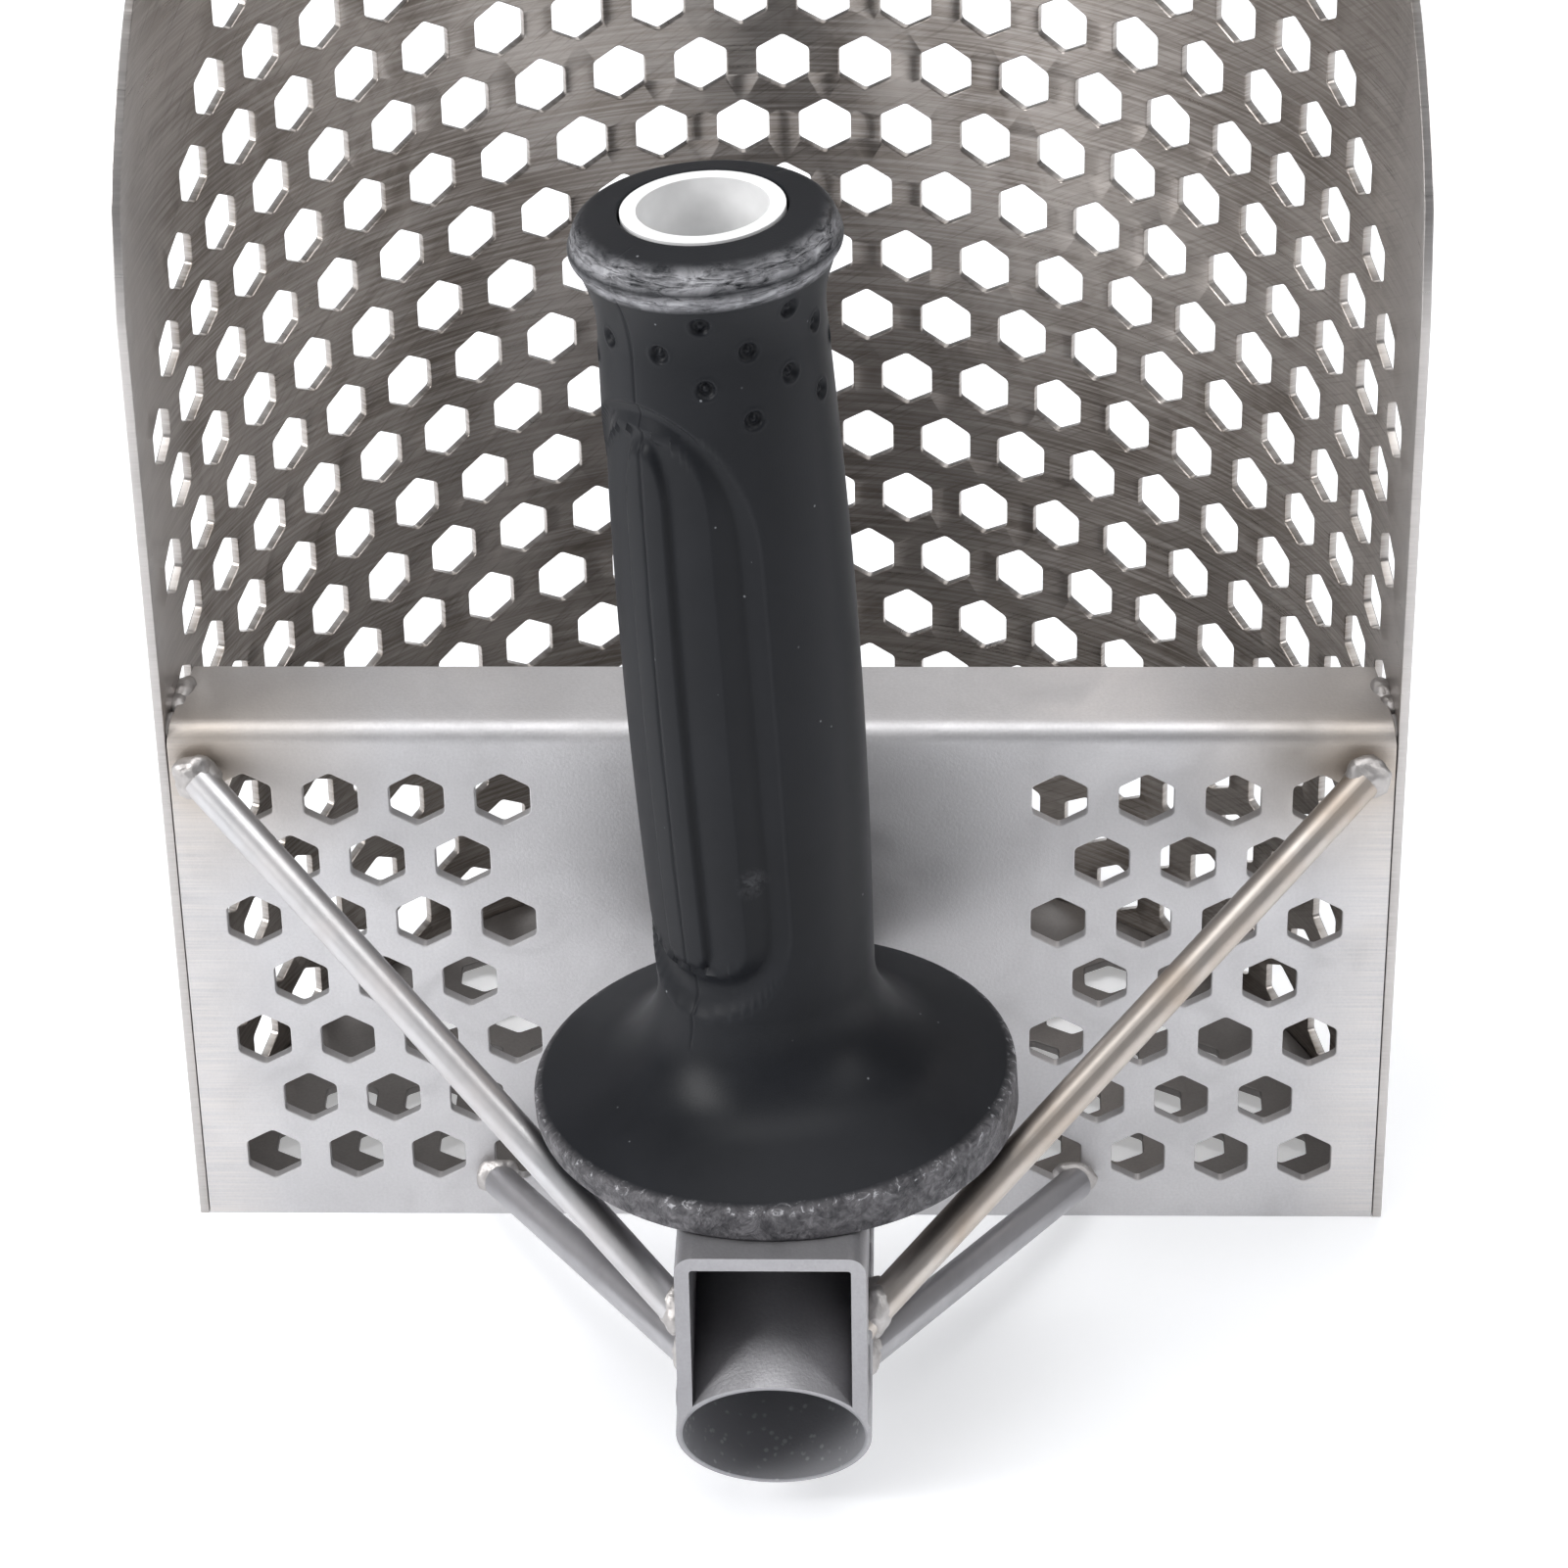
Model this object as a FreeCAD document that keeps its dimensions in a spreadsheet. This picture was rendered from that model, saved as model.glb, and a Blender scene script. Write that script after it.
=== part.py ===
import FreeCAD, Part
import math
import os
from FreeCAD import Placement, Rotation, Vector

# Beach sand scoop: a half-round perforated basket behind a flat perforated plate, with a round
# socket for a long shaft, a saddle over the socket and a rubber hand grip standing on the saddle.
# Frame: +Z runs up from the rear of the basket to its mouth, +Y from the plate into the basket,
# X across. The origin is the middle of the plate's outer face, on the floor that the scoop
# stands on.

SIZES = [
    # basket sheet
    ("basket_radius", 79.0, "outer radius of the half-round basket"),
    ("basket_wall", 1.2, "thickness of the basket sheet"),
    ("basket_height", 250.0, "rear edge to the tip of the lip"),
    ("side_sweep", 33.0, "angle of the swept edge from the basket's axis, degrees"),
    ("side_bend", 30.0, "radius of the side edge where it starts to sweep back"),
    ("lip_depth", 29.0, "depth of the rounded lip, in from the basket's far side"),
    ("lip_curve", 81.7, "radius of the rounded lip, seen from the side"),
    # hexagonal holes
    ("hex_flats", 7.0, "hexagonal hole across its flats"),
    ("hex_pitch", 11.0, "centre to centre of neighbouring holes"),
    ("belly_first_row", 8.8, "height of the lowest row of holes in the basket sheet"),
    ("belly_hole_shift", -0.7, "how far the basket's hole pattern sits off the centre line"),
    ("edge_strip", 9.0, "least distance from a basket hole's centre to the straight side edge"),
    ("swept_strip", 22.0, "least distance from a basket hole's centre to the swept side edge"),
    ("lip_strip", 24.0, "least distance from a basket hole's centre down from the lip"),
    # flat plate
    ("plate_height", 78.0, "rear edge to the bend"),
    ("plate_wall", 1.5, "thickness of the flat plate"),
    ("flange_depth", 14.6, "how far the plate's bent flange reaches into the basket"),
    ("bend_radius", 2.5, "outer radius of the plate's bend"),
    ("plate_gap", 0.1, "gap between the plate and the basket sheet on each side"),
    ("plate_first_row", 10.0, "height of the lowest row of holes in the plate"),
    ("plate_top_margin", 10.0, "least distance from a hole's centre down from the bend"),
    ("plate_side_margin", 9.3, "outermost hole's centre to the plate's side edge"),
    ("plate_plain_half", 35.0, "centre line to where holes may start"),
    # rear plate
    ("rear_wall", 1.2, "thickness of the rear plate"),
    ("rear_inset", 2.0, "floor to the rear plate's outer face"),
    ("rear_margin", 10.0, "least distance from a rear hole's centre to the rear plate's edge"),
    # shaft socket
    ("socket_diameter", 24.0, "outer diameter of the socket tube"),
    ("socket_wall", 1.2, "wall of the socket tube"),
    ("socket_ream", 0.4, "how much the reamed mouth is cut out of that wall, for the shaft"),
    ("socket_ream_depth", 40.0, "depth of the reamed mouth, where the shaft stops"),
    ("socket_inset", 1.4, "saddle's outer end to the middle of the socket's mouth"),
    ("socket_lift", 4.94, "floor to the lowest point of the socket's mouth"),
    ("socket_slope", 20.2, "rise of the socket's axis towards the plate, degrees"),
    # saddle over the socket
    ("saddle_narrower", 1.0, "how much narrower the saddle is than the socket tube"),
    ("saddle_wall", 1.8, "wall of the saddle"),
    ("saddle_corner", 2.2, "outer corner radius of the saddle"),
    ("saddle_overhang", 3.3, "how far the saddle's outer end stands out past the hand guard"),
    ("saddle_height", 45.0, "floor to the top of the saddle at its outer end"),
    ("saddle_fall", 2.6, "fall of the saddle's top towards the plate, degrees"),
    # struts
    ("strut_diameter", 4.5, "diameter of the strut rods"),
    ("upper_strut_margin", 4.1, "plate's side edge to the upper strut's end on it"),
    ("upper_strut_drop", 6.2, "plate's bend to the upper strut's end below it"),
    ("upper_strut_inset", 15.0, "saddle's outer end to the upper strut's end on the saddle"),
    ("upper_strut_offset", 4.2, "socket's axis up to the upper strut's end on the saddle"),
    ("lower_strut_side", 38.2, "centre line to the lower strut's end on the plate"),
    ("lower_strut_top", 7.4, "height of the lower strut's end on the plate"),
    ("lower_strut_inset", 17.0, "saddle's outer end to the lower strut's end on the socket"),
    ("lower_strut_offset", -5.7, "socket's axis up to the lower strut's end on the socket"),
    # hand grip
    ("guard_gap", 1.1, "plate to the rubber hand guard"),
    ("grip_lean", 3.05, "sideways lean of the grip, degrees"),
    ("grip_length", 122.6, "saddle to the top of the rubber"),
    ("guard_radius", 30.0, "radius of the rubber hand guard"),
    ("guard_rim", 4.5, "height of the hand guard's rim"),
    ("shoulder_radius", 21.6, "radius where the guard's cone turns up into the grip"),
    ("shoulder_height", 7.9, "saddle to that turn"),
    ("shoulder_hollow", 2.9, "how far the turn is hollowed below its chord"),
    ("root_radius", 13.3, "radius of the grip just above the hand guard"),
    ("root_height", 19.8, "saddle to the root of the grip"),
    ("palm_radius", 14.3, "radius of the grip where the palm fills"),
    ("neck_radius", 13.2, "radius of the grip under its top ring"),
    ("neck_drop", 13.3, "top of the rubber down to the neck"),
    ("neck_hollow", 0.4, "how far the flare from neck to ring is hollowed"),
    ("ring_radius", 15.65, "radius of the grip's top ring"),
    ("ring_drop", 3.9, "top of the rubber down to the ring's widest line"),
    ("ring_round", 1.2, "bulge of the ring's rounded upper edge"),
    ("ring_flat", 12.5, "radius of the rubber's flat top"),
    ("core_diameter", 19.0, "outer diameter of the grip's white core tube"),
    ("core_wall", 1.85, "wall of the core tube"),
    ("core_proud", 0.3, "how far the core tube stands out of the rubber"),
    ("core_floor", 6.0, "thickness of the core tube's floor"),
    # stud that holds the grip
    ("stud_diameter", 6.0, "thread of the stud that is welded into the saddle"),
    ("stud_end", 2.0, "how far the stud's end stands out of the nut"),
    ("stud_clearance", 0.4, "holes larger than the stud, on the diameter"),
    ("washer_diameter", 12.0, "washer"),
    ("washer_thickness", 1.6, "washer"),
    ("nut_flats", 10.0, "nut across flats"),
    ("nut_height", 5.0, "nut"),
    # weld beads
    ("strut_weld_radius", 3.6, "radius of the beads at the struts' ends"),
    ("plate_bead_rise", 2.7, "height of the struts' beads on the plate"),
    ("saddle_bead_rise", 3.2, "height of the struts' beads on the saddle and the socket"),
    ("corner_weld_radius", 3.0, "radius of the beads at the flange's ends"),
    ("corner_bead_rise", 2.1, "height of the beads at the flange's ends"),
    ("corner_weld_inset", 5.6, "flange's rear edge to the middle of the bead at its end"),
    ("seam_weld_radius", 1.1, "size of the beads along the seams"),
    ("seam_weld_bulge", 0.66, "how far a seam's bead fills its corner, along each wall"),
    ("rear_weld_size", 1.8, "size of the bead under the rear plate, along each wall"),
    ("rear_weld_bulge", 1.2, "how far that bead fills its corner, along each wall"),
]

ROW_RATIO = math.sqrt(3.0) / 2.0  # row spacing of a hexagonal pattern, as a share of its pitch
REACH = 400.0  # longer than any part, for tools that cut right through

doc = FreeCAD.newDocument("sand_scoop")
sheet = doc.addObject("Spreadsheet::Sheet", "sizes")
for line, (alias, value, note) in enumerate(SIZES, start=1):
    sheet.set("A%d" % line, alias)
    sheet.set("B%d" % line, str(value))
    sheet.set("C%d" % line, note)
    sheet.setAlias("B%d" % line, alias)
doc.recompute()


def size(alias):
    return float(sheet.get(alias))


def bind(item, **expressions):
    """Binds properties to sheet cells: each expression names cells by their aliases."""
    for prop, expression in expressions.items():
        item.setExpression(prop, expression)


def cell(alias):
    return "sizes." + alias


def body_plane(body, role):
    for feature in body.Origin.OriginFeatures:
        if feature.Role == role:
            return feature
    raise RuntimeError("no plane " + role)


def new_sketch(body, name, role):
    sketch = body.newObject("Sketcher::SketchObject", name)
    sketch.AttachmentSupport = [(body_plane(body, role), "")]
    sketch.MapMode = "FlatFace"
    return sketch


def draw_loop(sketch, edges):
    """Adds a closed loop: an edge is two points, or three points for an arc through the middle."""
    for points in edges:
        spots = [Vector(x, y, 0) for x, y in points]
        if len(spots) == 2:
            sketch.addGeometry(Part.LineSegment(*spots), False)
        else:
            sketch.addGeometry(Part.Arc(*spots), False)


def part_object(kind, name, placement=Placement(), **expressions):
    item = doc.addObject(kind, name)
    item.Placement = placement
    bind(item, **expressions)
    return item


def combine(kind, name, base, tool):
    item = doc.addObject(kind, name)
    item.Base = base
    item.Tool = tool
    return item


def shape_object(name, shape):
    item = doc.addObject("Part::Feature", name)
    item.Shape = shape
    return item


# ------------------------------------------------------------------ shared geometry
row_step = size("hex_pitch") * ROW_RATIO
hex_corner = size("hex_flats") / math.sqrt(3.0)
basket_inner = size("basket_radius") - size("basket_wall")
basket_middle = size("basket_radius") - size("basket_wall") / 2
plate_half = basket_inner - size("plate_gap")
socket_radius = size("socket_diameter") / 2
saddle_half = socket_radius - size("saddle_narrower") / 2
grip_reach = size("guard_radius") + size("guard_gap")
saddle_reach = grip_reach + size("guard_radius") + size("saddle_overhang")
socket_reach = saddle_reach - size("socket_inset")

slope = math.radians(size("socket_slope"))
fall = math.radians(size("saddle_fall"))
socket_inward = Vector(0, math.cos(slope), math.sin(slope))
socket_upward = Vector(0, -math.sin(slope), math.cos(slope))
socket_mouth = Vector(0, -socket_reach, size("socket_lift") + socket_radius * math.cos(slope))
socket_frame = Placement(socket_mouth, Rotation(Vector(0, 0, 1), socket_inward))

grip_foot_height = size("saddle_height") - (saddle_reach - grip_reach) * math.tan(fall)
saddle_turn = Rotation(Vector(1, 0, 0), -size("saddle_fall"))
web_frame = Placement(Vector(0, -grip_reach, grip_foot_height), saddle_turn)
grip_frame = web_frame.multiply(Placement(Vector(), Rotation(Vector(0, 1, 0), -size("grip_lean"))))


sweep = math.radians(size("side_sweep"))
lip_turn = math.acos(math.cos(sweep) - size("lip_depth") / size("lip_curve"))
lip_rise = size("lip_curve") * (math.sin(lip_turn) - math.sin(sweep))
lip_start_depth = size("basket_radius") - size("lip_depth")
lip_start_height = size("basket_height") - lip_rise
# where the straight and the swept edge would meet in a sharp corner
side_corner_height = lip_start_height - lip_start_depth / math.tan(sweep)


def side_edge_points():
    """The basket's side edge in the YZ plane: straight, a bend, the swept run and the lip."""
    bend, curve = size("side_bend"), size("lip_curve")
    tangent = bend * math.tan(sweep / 2)
    bend_start = (0.0, side_corner_height - tangent)
    bend_end = (tangent * math.sin(sweep), side_corner_height + tangent * math.cos(sweep))
    bend_middle = (bend * (1 - math.cos(sweep / 2)), bend_start[1] + bend * math.sin(sweep / 2))
    lip_start = (lip_start_depth, lip_start_height)
    lip_end = (size("basket_radius"), size("basket_height"))
    # the lip's arc leaves the swept run without a corner
    half_way = (sweep + lip_turn) / 2
    lip_middle = (
        lip_start_depth + curve * (math.cos(sweep) - math.cos(half_way)),
        lip_start_height + curve * (math.sin(half_way) - math.sin(sweep)),
    )
    return bend_start, bend_middle, bend_end, lip_start, lip_middle, lip_end


def developed(depth):
    """Length along the sheet from its free edge to a point this deep in the basket."""
    radius = size("basket_radius")
    if depth <= 0:
        return depth
    return radius * math.asin(min(1.0, depth / radius))


def clear_of_edges(depth, height):
    """Whether a hole here leaves the plain strips along the straight and the swept side edge."""
    along_sheet = developed(depth)
    if along_sheet < size("edge_strip"):
        return False
    # past the start of the lip the strip keeps the depth that it has there
    swept_depth = min((height - side_corner_height) * math.tan(sweep), lip_start_depth)
    gap = (along_sheet - developed(swept_depth)) * math.cos(sweep)
    return gap >= size("swept_strip") and height <= size("basket_height") - size("lip_strip")


def hex_prism(centre, outward, upward, length):
    """A hexagonal prism through centre along outward, with two corners along upward."""
    across = upward.cross(outward)
    start = centre - outward * (length / 2)
    corners = []
    for turn in range(6):
        angle = math.radians(60 * turn)
        spot = start + upward * (hex_corner * math.cos(angle)) + across * (hex_corner * math.sin(angle))
        corners.append(spot)
    face = Part.Face(Part.makePolygon(corners + corners[:1]))
    return face.extrude(outward * length)


# ------------------------------------------------------------------ basket sheet
def make_basket_sheet():
    body = doc.addObject("PartDesign::Body", "basket_body")
    ring = new_sketch(body, "basket_section", "XY_Plane")
    outer, inner = size("basket_radius"), basket_inner
    draw_loop(ring, [
        ((outer, 0), (0, outer), (-outer, 0)),
        ((-outer, 0), (-inner, 0)),
        ((-inner, 0), (0, inner), (inner, 0)),
        ((inner, 0), (outer, 0)),
    ])
    pad = body.newObject("PartDesign::Pad", "basket_pad")
    pad.Profile = ring
    bind(pad, Length=cell("basket_height"))

    # what lies beyond the side edge and the lip is cut away across the whole width
    trim = new_sketch(body, "mouth_outline", "YZ_Plane")
    bend_start, bend_middle, bend_end, lip_start, lip_middle, lip_end = side_edge_points()
    top = size("basket_height") + size("basket_wall")
    ahead = -size("plate_wall")
    beyond = size("basket_radius") + size("basket_wall")
    draw_loop(trim, [
        (bend_start, bend_middle, bend_end),
        (bend_end, lip_start),
        (lip_start, lip_middle, lip_end),
        (lip_end, (beyond, lip_end[1])),
        ((beyond, lip_end[1]), (beyond, top)),
        ((beyond, top), (ahead, top)),
        ((ahead, top), (ahead, bend_start[1])),
        ((ahead, bend_start[1]), bend_start),
    ])
    pocket = body.newObject("PartDesign::Pocket", "mouth_trim")
    pocket.Profile = trim
    pocket.Type = "ThroughAll"
    pocket.Midplane = True
    body.Tip = pocket

    prisms = []
    quarter_holes = math.ceil(math.pi / 2 * basket_middle / size("hex_pitch"))
    row = 0
    while size("belly_first_row") + row * row_step < size("basket_height"):
        height = size("belly_first_row") + row * row_step
        offset = 0.0 if row % 2 else 0.5
        for step in range(-quarter_holes, quarter_holes + 1):
            arc = (step + offset) * size("hex_pitch") + size("belly_hole_shift")
            turn = arc / basket_middle
            if abs(turn) > math.pi / 2:
                continue
            outward = Vector(math.sin(turn), math.cos(turn), 0)
            depth = basket_middle * outward.y
            if not clear_of_edges(depth, height):
                continue
            centre = outward * basket_middle + Vector(0, 0, height)
            prisms.append(hex_prism(centre, outward, Vector(0, 0, 1), 4 * size("basket_wall")))
        row += 1
    tools = shape_object("basket_holes", Part.makeCompound(prisms))
    return combine("Part::Cut", "basket_sheet", body, tools)


# ------------------------------------------------------------------ flat plate with its flange
def make_flat_plate():
    body = doc.addObject("PartDesign::Body", "plate_body")
    profile = new_sketch(body, "plate_profile", "YZ_Plane")
    wall, bend = size("plate_wall"), size("bend_radius")
    top, depth = size("plate_height"), size("flange_depth")
    outer_mid = (bend * (1 - math.sqrt(0.5)), top - bend * (1 - math.sqrt(0.5)))
    inner_bend = bend - wall
    inner_mid = (bend - inner_bend * math.sqrt(0.5), top - bend + inner_bend * math.sqrt(0.5))
    draw_loop(profile, [
        ((0, 0), (0, top - bend)),
        ((0, top - bend), outer_mid, (bend, top)),
        ((bend, top), (depth, top)),
        ((depth, top), (depth, top - wall)),
        ((depth, top - wall), (bend, top - wall)),
        ((bend, top - wall), inner_mid, (wall, top - bend)),
        ((wall, top - bend), (wall, 0)),
        ((wall, 0), (0, 0)),
    ])
    pad = body.newObject("PartDesign::Pad", "plate_pad")
    pad.Profile = profile
    pad.Midplane = True
    bind(pad, Length="2 * (sizes.basket_radius - sizes.basket_wall - sizes.plate_gap)")
    body.Tip = pad

    # the flange's ends follow the basket's curve, so the plate is kept inside the round sheet
    round_space = part_object(
        "Part::Cylinder", "plate_space",
        Radius="sizes.basket_radius - sizes.basket_wall - sizes.plate_gap", Height="2 * sizes.basket_height",
    )
    kept = combine("Part::Common", "plate_blank", body, round_space)

    prisms = []
    row = 0
    height = size("plate_first_row")
    while height <= size("plate_height") - size("plate_top_margin"):
        spot = plate_half - size("plate_side_margin") - (row % 2) * size("hex_pitch") / 2
        while spot >= size("plate_plain_half"):
            for side in (-1, 1):
                centre = Vector(side * spot, size("plate_wall") / 2, height)
                prisms.append(hex_prism(centre, Vector(0, 1, 0), Vector(0, 0, 1), 4 * size("plate_wall")))
            spot -= size("hex_pitch")
        row += 1
        height += row_step
    tools = shape_object("plate_holes", Part.makeCompound(prisms))
    return combine("Part::Cut", "flat_plate", kept, tools)


# ------------------------------------------------------------------ rear plate
def make_rear_plate():
    body = doc.addObject("PartDesign::Body", "rear_body")
    outline = new_sketch(body, "rear_outline", "XY_Plane")
    radius = plate_half
    front = size("plate_wall") + size("plate_gap")
    half = math.sqrt(radius * radius - front * front)
    draw_loop(outline, [
        ((half, front), (0, radius), (-half, front)),
        ((-half, front), (half, front)),
    ])
    pad = body.newObject("PartDesign::Pad", "rear_pad")
    pad.Profile = outline
    bind(pad, Length=cell("rear_wall"))
    body.Tip = pad
    body.Placement = Placement(Vector(0, 0, size("rear_inset")), Rotation())

    prisms = []
    middle = size("rear_inset") + size("rear_wall") / 2
    half_holes = math.ceil(radius / size("hex_pitch"))
    row = 0
    while front + size("rear_margin") + row * row_step < radius:
        depth = front + size("rear_margin") + row * row_step
        offset = 0.5 if row % 2 else 0.0
        for step in range(-half_holes, half_holes + 1):
            across = (step + offset) * size("hex_pitch")
            if math.hypot(across, depth) > radius - size("rear_margin"):
                continue
            centre = Vector(across, depth, middle)
            prisms.append(hex_prism(centre, Vector(0, 0, 1), Vector(0, 1, 0), 4 * size("rear_wall")))
        row += 1
    tools = shape_object("rear_holes", Part.makeCompound(prisms))
    return combine("Part::Cut", "rear_plate", body, tools)


# ------------------------------------------------------------------ shaft socket and saddle
def cube(name, placement):
    """A tool larger than the scoop, for cutting along a plane."""
    box = part_object("Part::Box", name, placement)
    box.Length = REACH
    box.Width = REACH
    box.Height = REACH
    return box


def front_space(name):
    """Everything in front of the plate's outer face."""
    return cube(name, Placement(Vector(-REACH / 2, -REACH, -REACH / 2), Rotation()))


def below_web(name, depth):
    """Everything lower than a plane parallel to the saddle's top, depth below it."""
    corner = web_frame.multVec(Vector(-REACH / 2, -REACH / 2, -depth - REACH))
    return cube(name, Placement(corner, saddle_turn))


def socket_lower(name):
    """Everything below the plane through the socket's axis."""
    corner = socket_mouth - socket_inward * (REACH / 2) - Vector(REACH / 2, 0, 0) - socket_upward * REACH
    return cube(name, Placement(corner, Rotation(Vector(1, 0, 0), size("socket_slope"))))


def make_socket_tube():
    outer = part_object("Part::Cylinder", "socket_outer", socket_frame, Radius="sizes.socket_diameter / 2")
    inner = part_object("Part::Cylinder", "socket_inner", socket_frame,
                        Radius="sizes.socket_diameter / 2 - sizes.socket_wall")
    for cylinder in (outer, inner):
        bind(cylinder, Height="2 * sizes.socket_diameter + 4 * sizes.guard_radius")
    reamed = part_object("Part::Cylinder", "socket_reamed", socket_frame,
                         Radius="sizes.socket_diameter / 2 - sizes.socket_wall + sizes.socket_ream",
                         Height=cell("socket_ream_depth"))
    pipe = combine("Part::Cut", "socket_raw_pipe", outer, inner)
    tube = combine("Part::Cut", "socket_pipe", pipe, reamed)
    at_plate = combine("Part::Common", "socket_at_plate", tube, front_space("socket_front"))
    below = below_web("socket_below_web", size("saddle_wall"))
    return combine("Part::Common", "socket_tube", at_plate, below)


def make_saddle():
    body = doc.addObject("PartDesign::Body", "saddle_body")
    profile = new_sketch(body, "saddle_profile", "XZ_Plane")
    half, wall, corner = saddle_half, size("saddle_wall"), size("saddle_corner")
    inside = half - wall
    small = corner - wall
    drop = -size("saddle_height")
    turn = 1 - math.sqrt(0.5)
    draw_loop(profile, [
        ((-half, drop), (-half, -corner)),
        ((-half, -corner), (-half + corner * turn, -corner * turn), (-half + corner, 0)),
        ((-half + corner, 0), (half - corner, 0)),
        ((half - corner, 0), (half - corner * turn, -corner * turn), (half, -corner)),
        ((half, -corner), (half, drop)),
        ((half, drop), (inside, drop)),
        ((inside, drop), (inside, -corner)),
        ((inside, -corner), (inside - small * turn, -wall - small * turn), (inside - small, -wall)),
        ((inside - small, -wall), (-inside + small, -wall)),
        ((-inside + small, -wall), (-inside + small * turn, -wall - small * turn), (-inside, -corner)),
        ((-inside, -corner), (-inside, drop)),
        ((-inside, drop), (-half, drop)),
    ])
    pad = body.newObject("PartDesign::Pad", "saddle_pad")
    pad.Profile = profile
    pad.Reversed = True
    pad.Length = 2 * saddle_reach
    body.Tip = pad
    body.Placement = Placement(Vector(0, -saddle_reach, size("saddle_height")), saddle_turn)

    at_plate = combine("Part::Common", "saddle_at_plate", body, front_space("saddle_front"))
    # the legs end on the socket tube, at its widest
    upper = combine("Part::Cut", "saddle_upper", at_plate, socket_lower("saddle_lower"))
    tube_space = part_object(
        "Part::Cylinder", "saddle_tube_space",
        Placement(socket_mouth - socket_inward * size("socket_diameter"), socket_frame.Rotation),
        Radius="sizes.socket_diameter / 2", Height="4 * sizes.socket_diameter + 4 * sizes.guard_radius",
    )
    under_web = combine(
        "Part::Common", "saddle_tube_room", tube_space, below_web("saddle_below_web", size("saddle_wall")),
    )
    legs = combine("Part::Cut", "saddle_legs", upper, under_web)
    return combine("Part::Cut", "saddle_seat", legs, stud_hole("saddle_stud_hole"))


def stud_hole(name):
    return part_object(
        "Part::Cylinder", name,
        web_frame.multiply(Placement(Vector(0, 0, -size("saddle_wall") - size("stud_end")), Rotation())),
        Radius="(sizes.stud_diameter + sizes.stud_clearance) / 2", Height="sizes.saddle_height",
    )


# ------------------------------------------------------------------ struts and their weld beads
def strut_ends(which, side):
    """Where a strut's axis meets the plate's face and the saddle or the socket."""
    radius = size("strut_diameter") / 2
    if which == "upper":
        across, up = plate_half - size("upper_strut_margin"), size("plate_height") - size("upper_strut_drop")
        out = saddle_half
    else:
        across, up = size("lower_strut_side"), size("lower_strut_top")
        out = socket_radius - radius
    reach = saddle_reach - size(which + "_strut_inset")
    axis_height = socket_mouth.z + (socket_reach - reach) * math.tan(slope)
    on_plate = Vector(side * across, -radius, up)
    on_socket = Vector(side * (out + radius / 2), -reach, axis_height + size(which + "_strut_offset"))
    return on_plate, on_socket


def socket_envelope(name):
    """The socket tube and the saddle as one solid block, for trimming what is welded to them."""
    tube = part_object(
        "Part::Cylinder", name + "_tube",
        Placement(socket_mouth, socket_frame.Rotation),
        Radius="sizes.socket_diameter / 2", Height="2 * sizes.socket_diameter + 4 * sizes.guard_radius",
    )
    # the block reaches from the saddle's top down to the plane through the socket's axis
    depth = size("saddle_height") - (socket_mouth.z + (saddle_reach / 2) * math.tan(slope)) + socket_radius
    corner = Vector(0, -saddle_reach, size("saddle_height"))
    corner += saddle_turn.multVec(Vector(-saddle_half, 0, -depth))
    block = part_object("Part::Box", name + "_block", Placement(corner, saddle_turn))
    block.Length = 2 * saddle_half
    block.Width = 2 * saddle_reach
    block.Height = depth
    upper_block = combine("Part::Cut", name + "_upper_block", block, socket_lower(name + "_lower"))
    return combine("Part::Fuse", name, tube, upper_block)


def make_strut(which, side, label):
    on_plate, on_socket = strut_ends(which, side)
    along = on_socket - on_plate
    direction = Vector(along).normalize()
    overrun = size("strut_diameter") * 2
    rod = part_object(
        "Part::Cylinder", label + "_rod",
        Placement(on_plate, Rotation(Vector(0, 0, 1), direction)),
        Radius="sizes.strut_diameter / 2",
    )
    rod.Height = along.Length + overrun
    at_plate = combine("Part::Common", label + "_at_plate", rod, front_space(label + "_front"))
    return combine("Part::Cut", label, at_plate, socket_envelope(label + "_envelope"))


def bead(name, centre, radius, rise, direction):
    """A flattened ball of weld metal that stands rise out of the surface it sits on."""
    ball = part_object("Part::Ellipsoid", name, Placement(centre, Rotation(Vector(0, 0, 1), direction)))
    ball.Radius1 = rise
    ball.Radius2 = radius
    ball.Radius3 = radius
    ball.Angle1 = -90
    ball.Angle2 = 90
    ball.Angle3 = 360
    return ball


def group_beads(label, items):
    group = doc.addObject("Part::Compound", label)
    group.Links = items
    return group


def side_word(side):
    return "left" if side < 0 else "right"


def make_strut_welds(which, struts, label):
    beads = []
    radius = size("strut_weld_radius")
    for side, strut in struts:
        name = label + "_" + side_word(side)
        on_plate, on_socket = strut_ends(which, side)
        foot = Vector(on_plate.x, 0, on_plate.z)
        plate_ball = bead(name + "_plate_ball", foot, radius, size("plate_bead_rise"), Vector(0, 1, 0))
        half_ball = combine("Part::Common", name + "_half_ball", plate_ball, front_space(name + "_front"))
        beads.append(combine("Part::Cut", name + "_plate", half_ball, strut))
        wall = Vector(side * saddle_half, on_socket.y, on_socket.z)
        socket_ball = bead(name + "_socket_ball", wall, radius, size("saddle_bead_rise"), Vector(1, 0, 0))
        outside = combine("Part::Cut", name + "_outside", socket_ball, socket_envelope(name + "_envelope"))
        beads.append(combine("Part::Cut", name + "_socket", outside, strut))
    return group_beads(label, beads)


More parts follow.
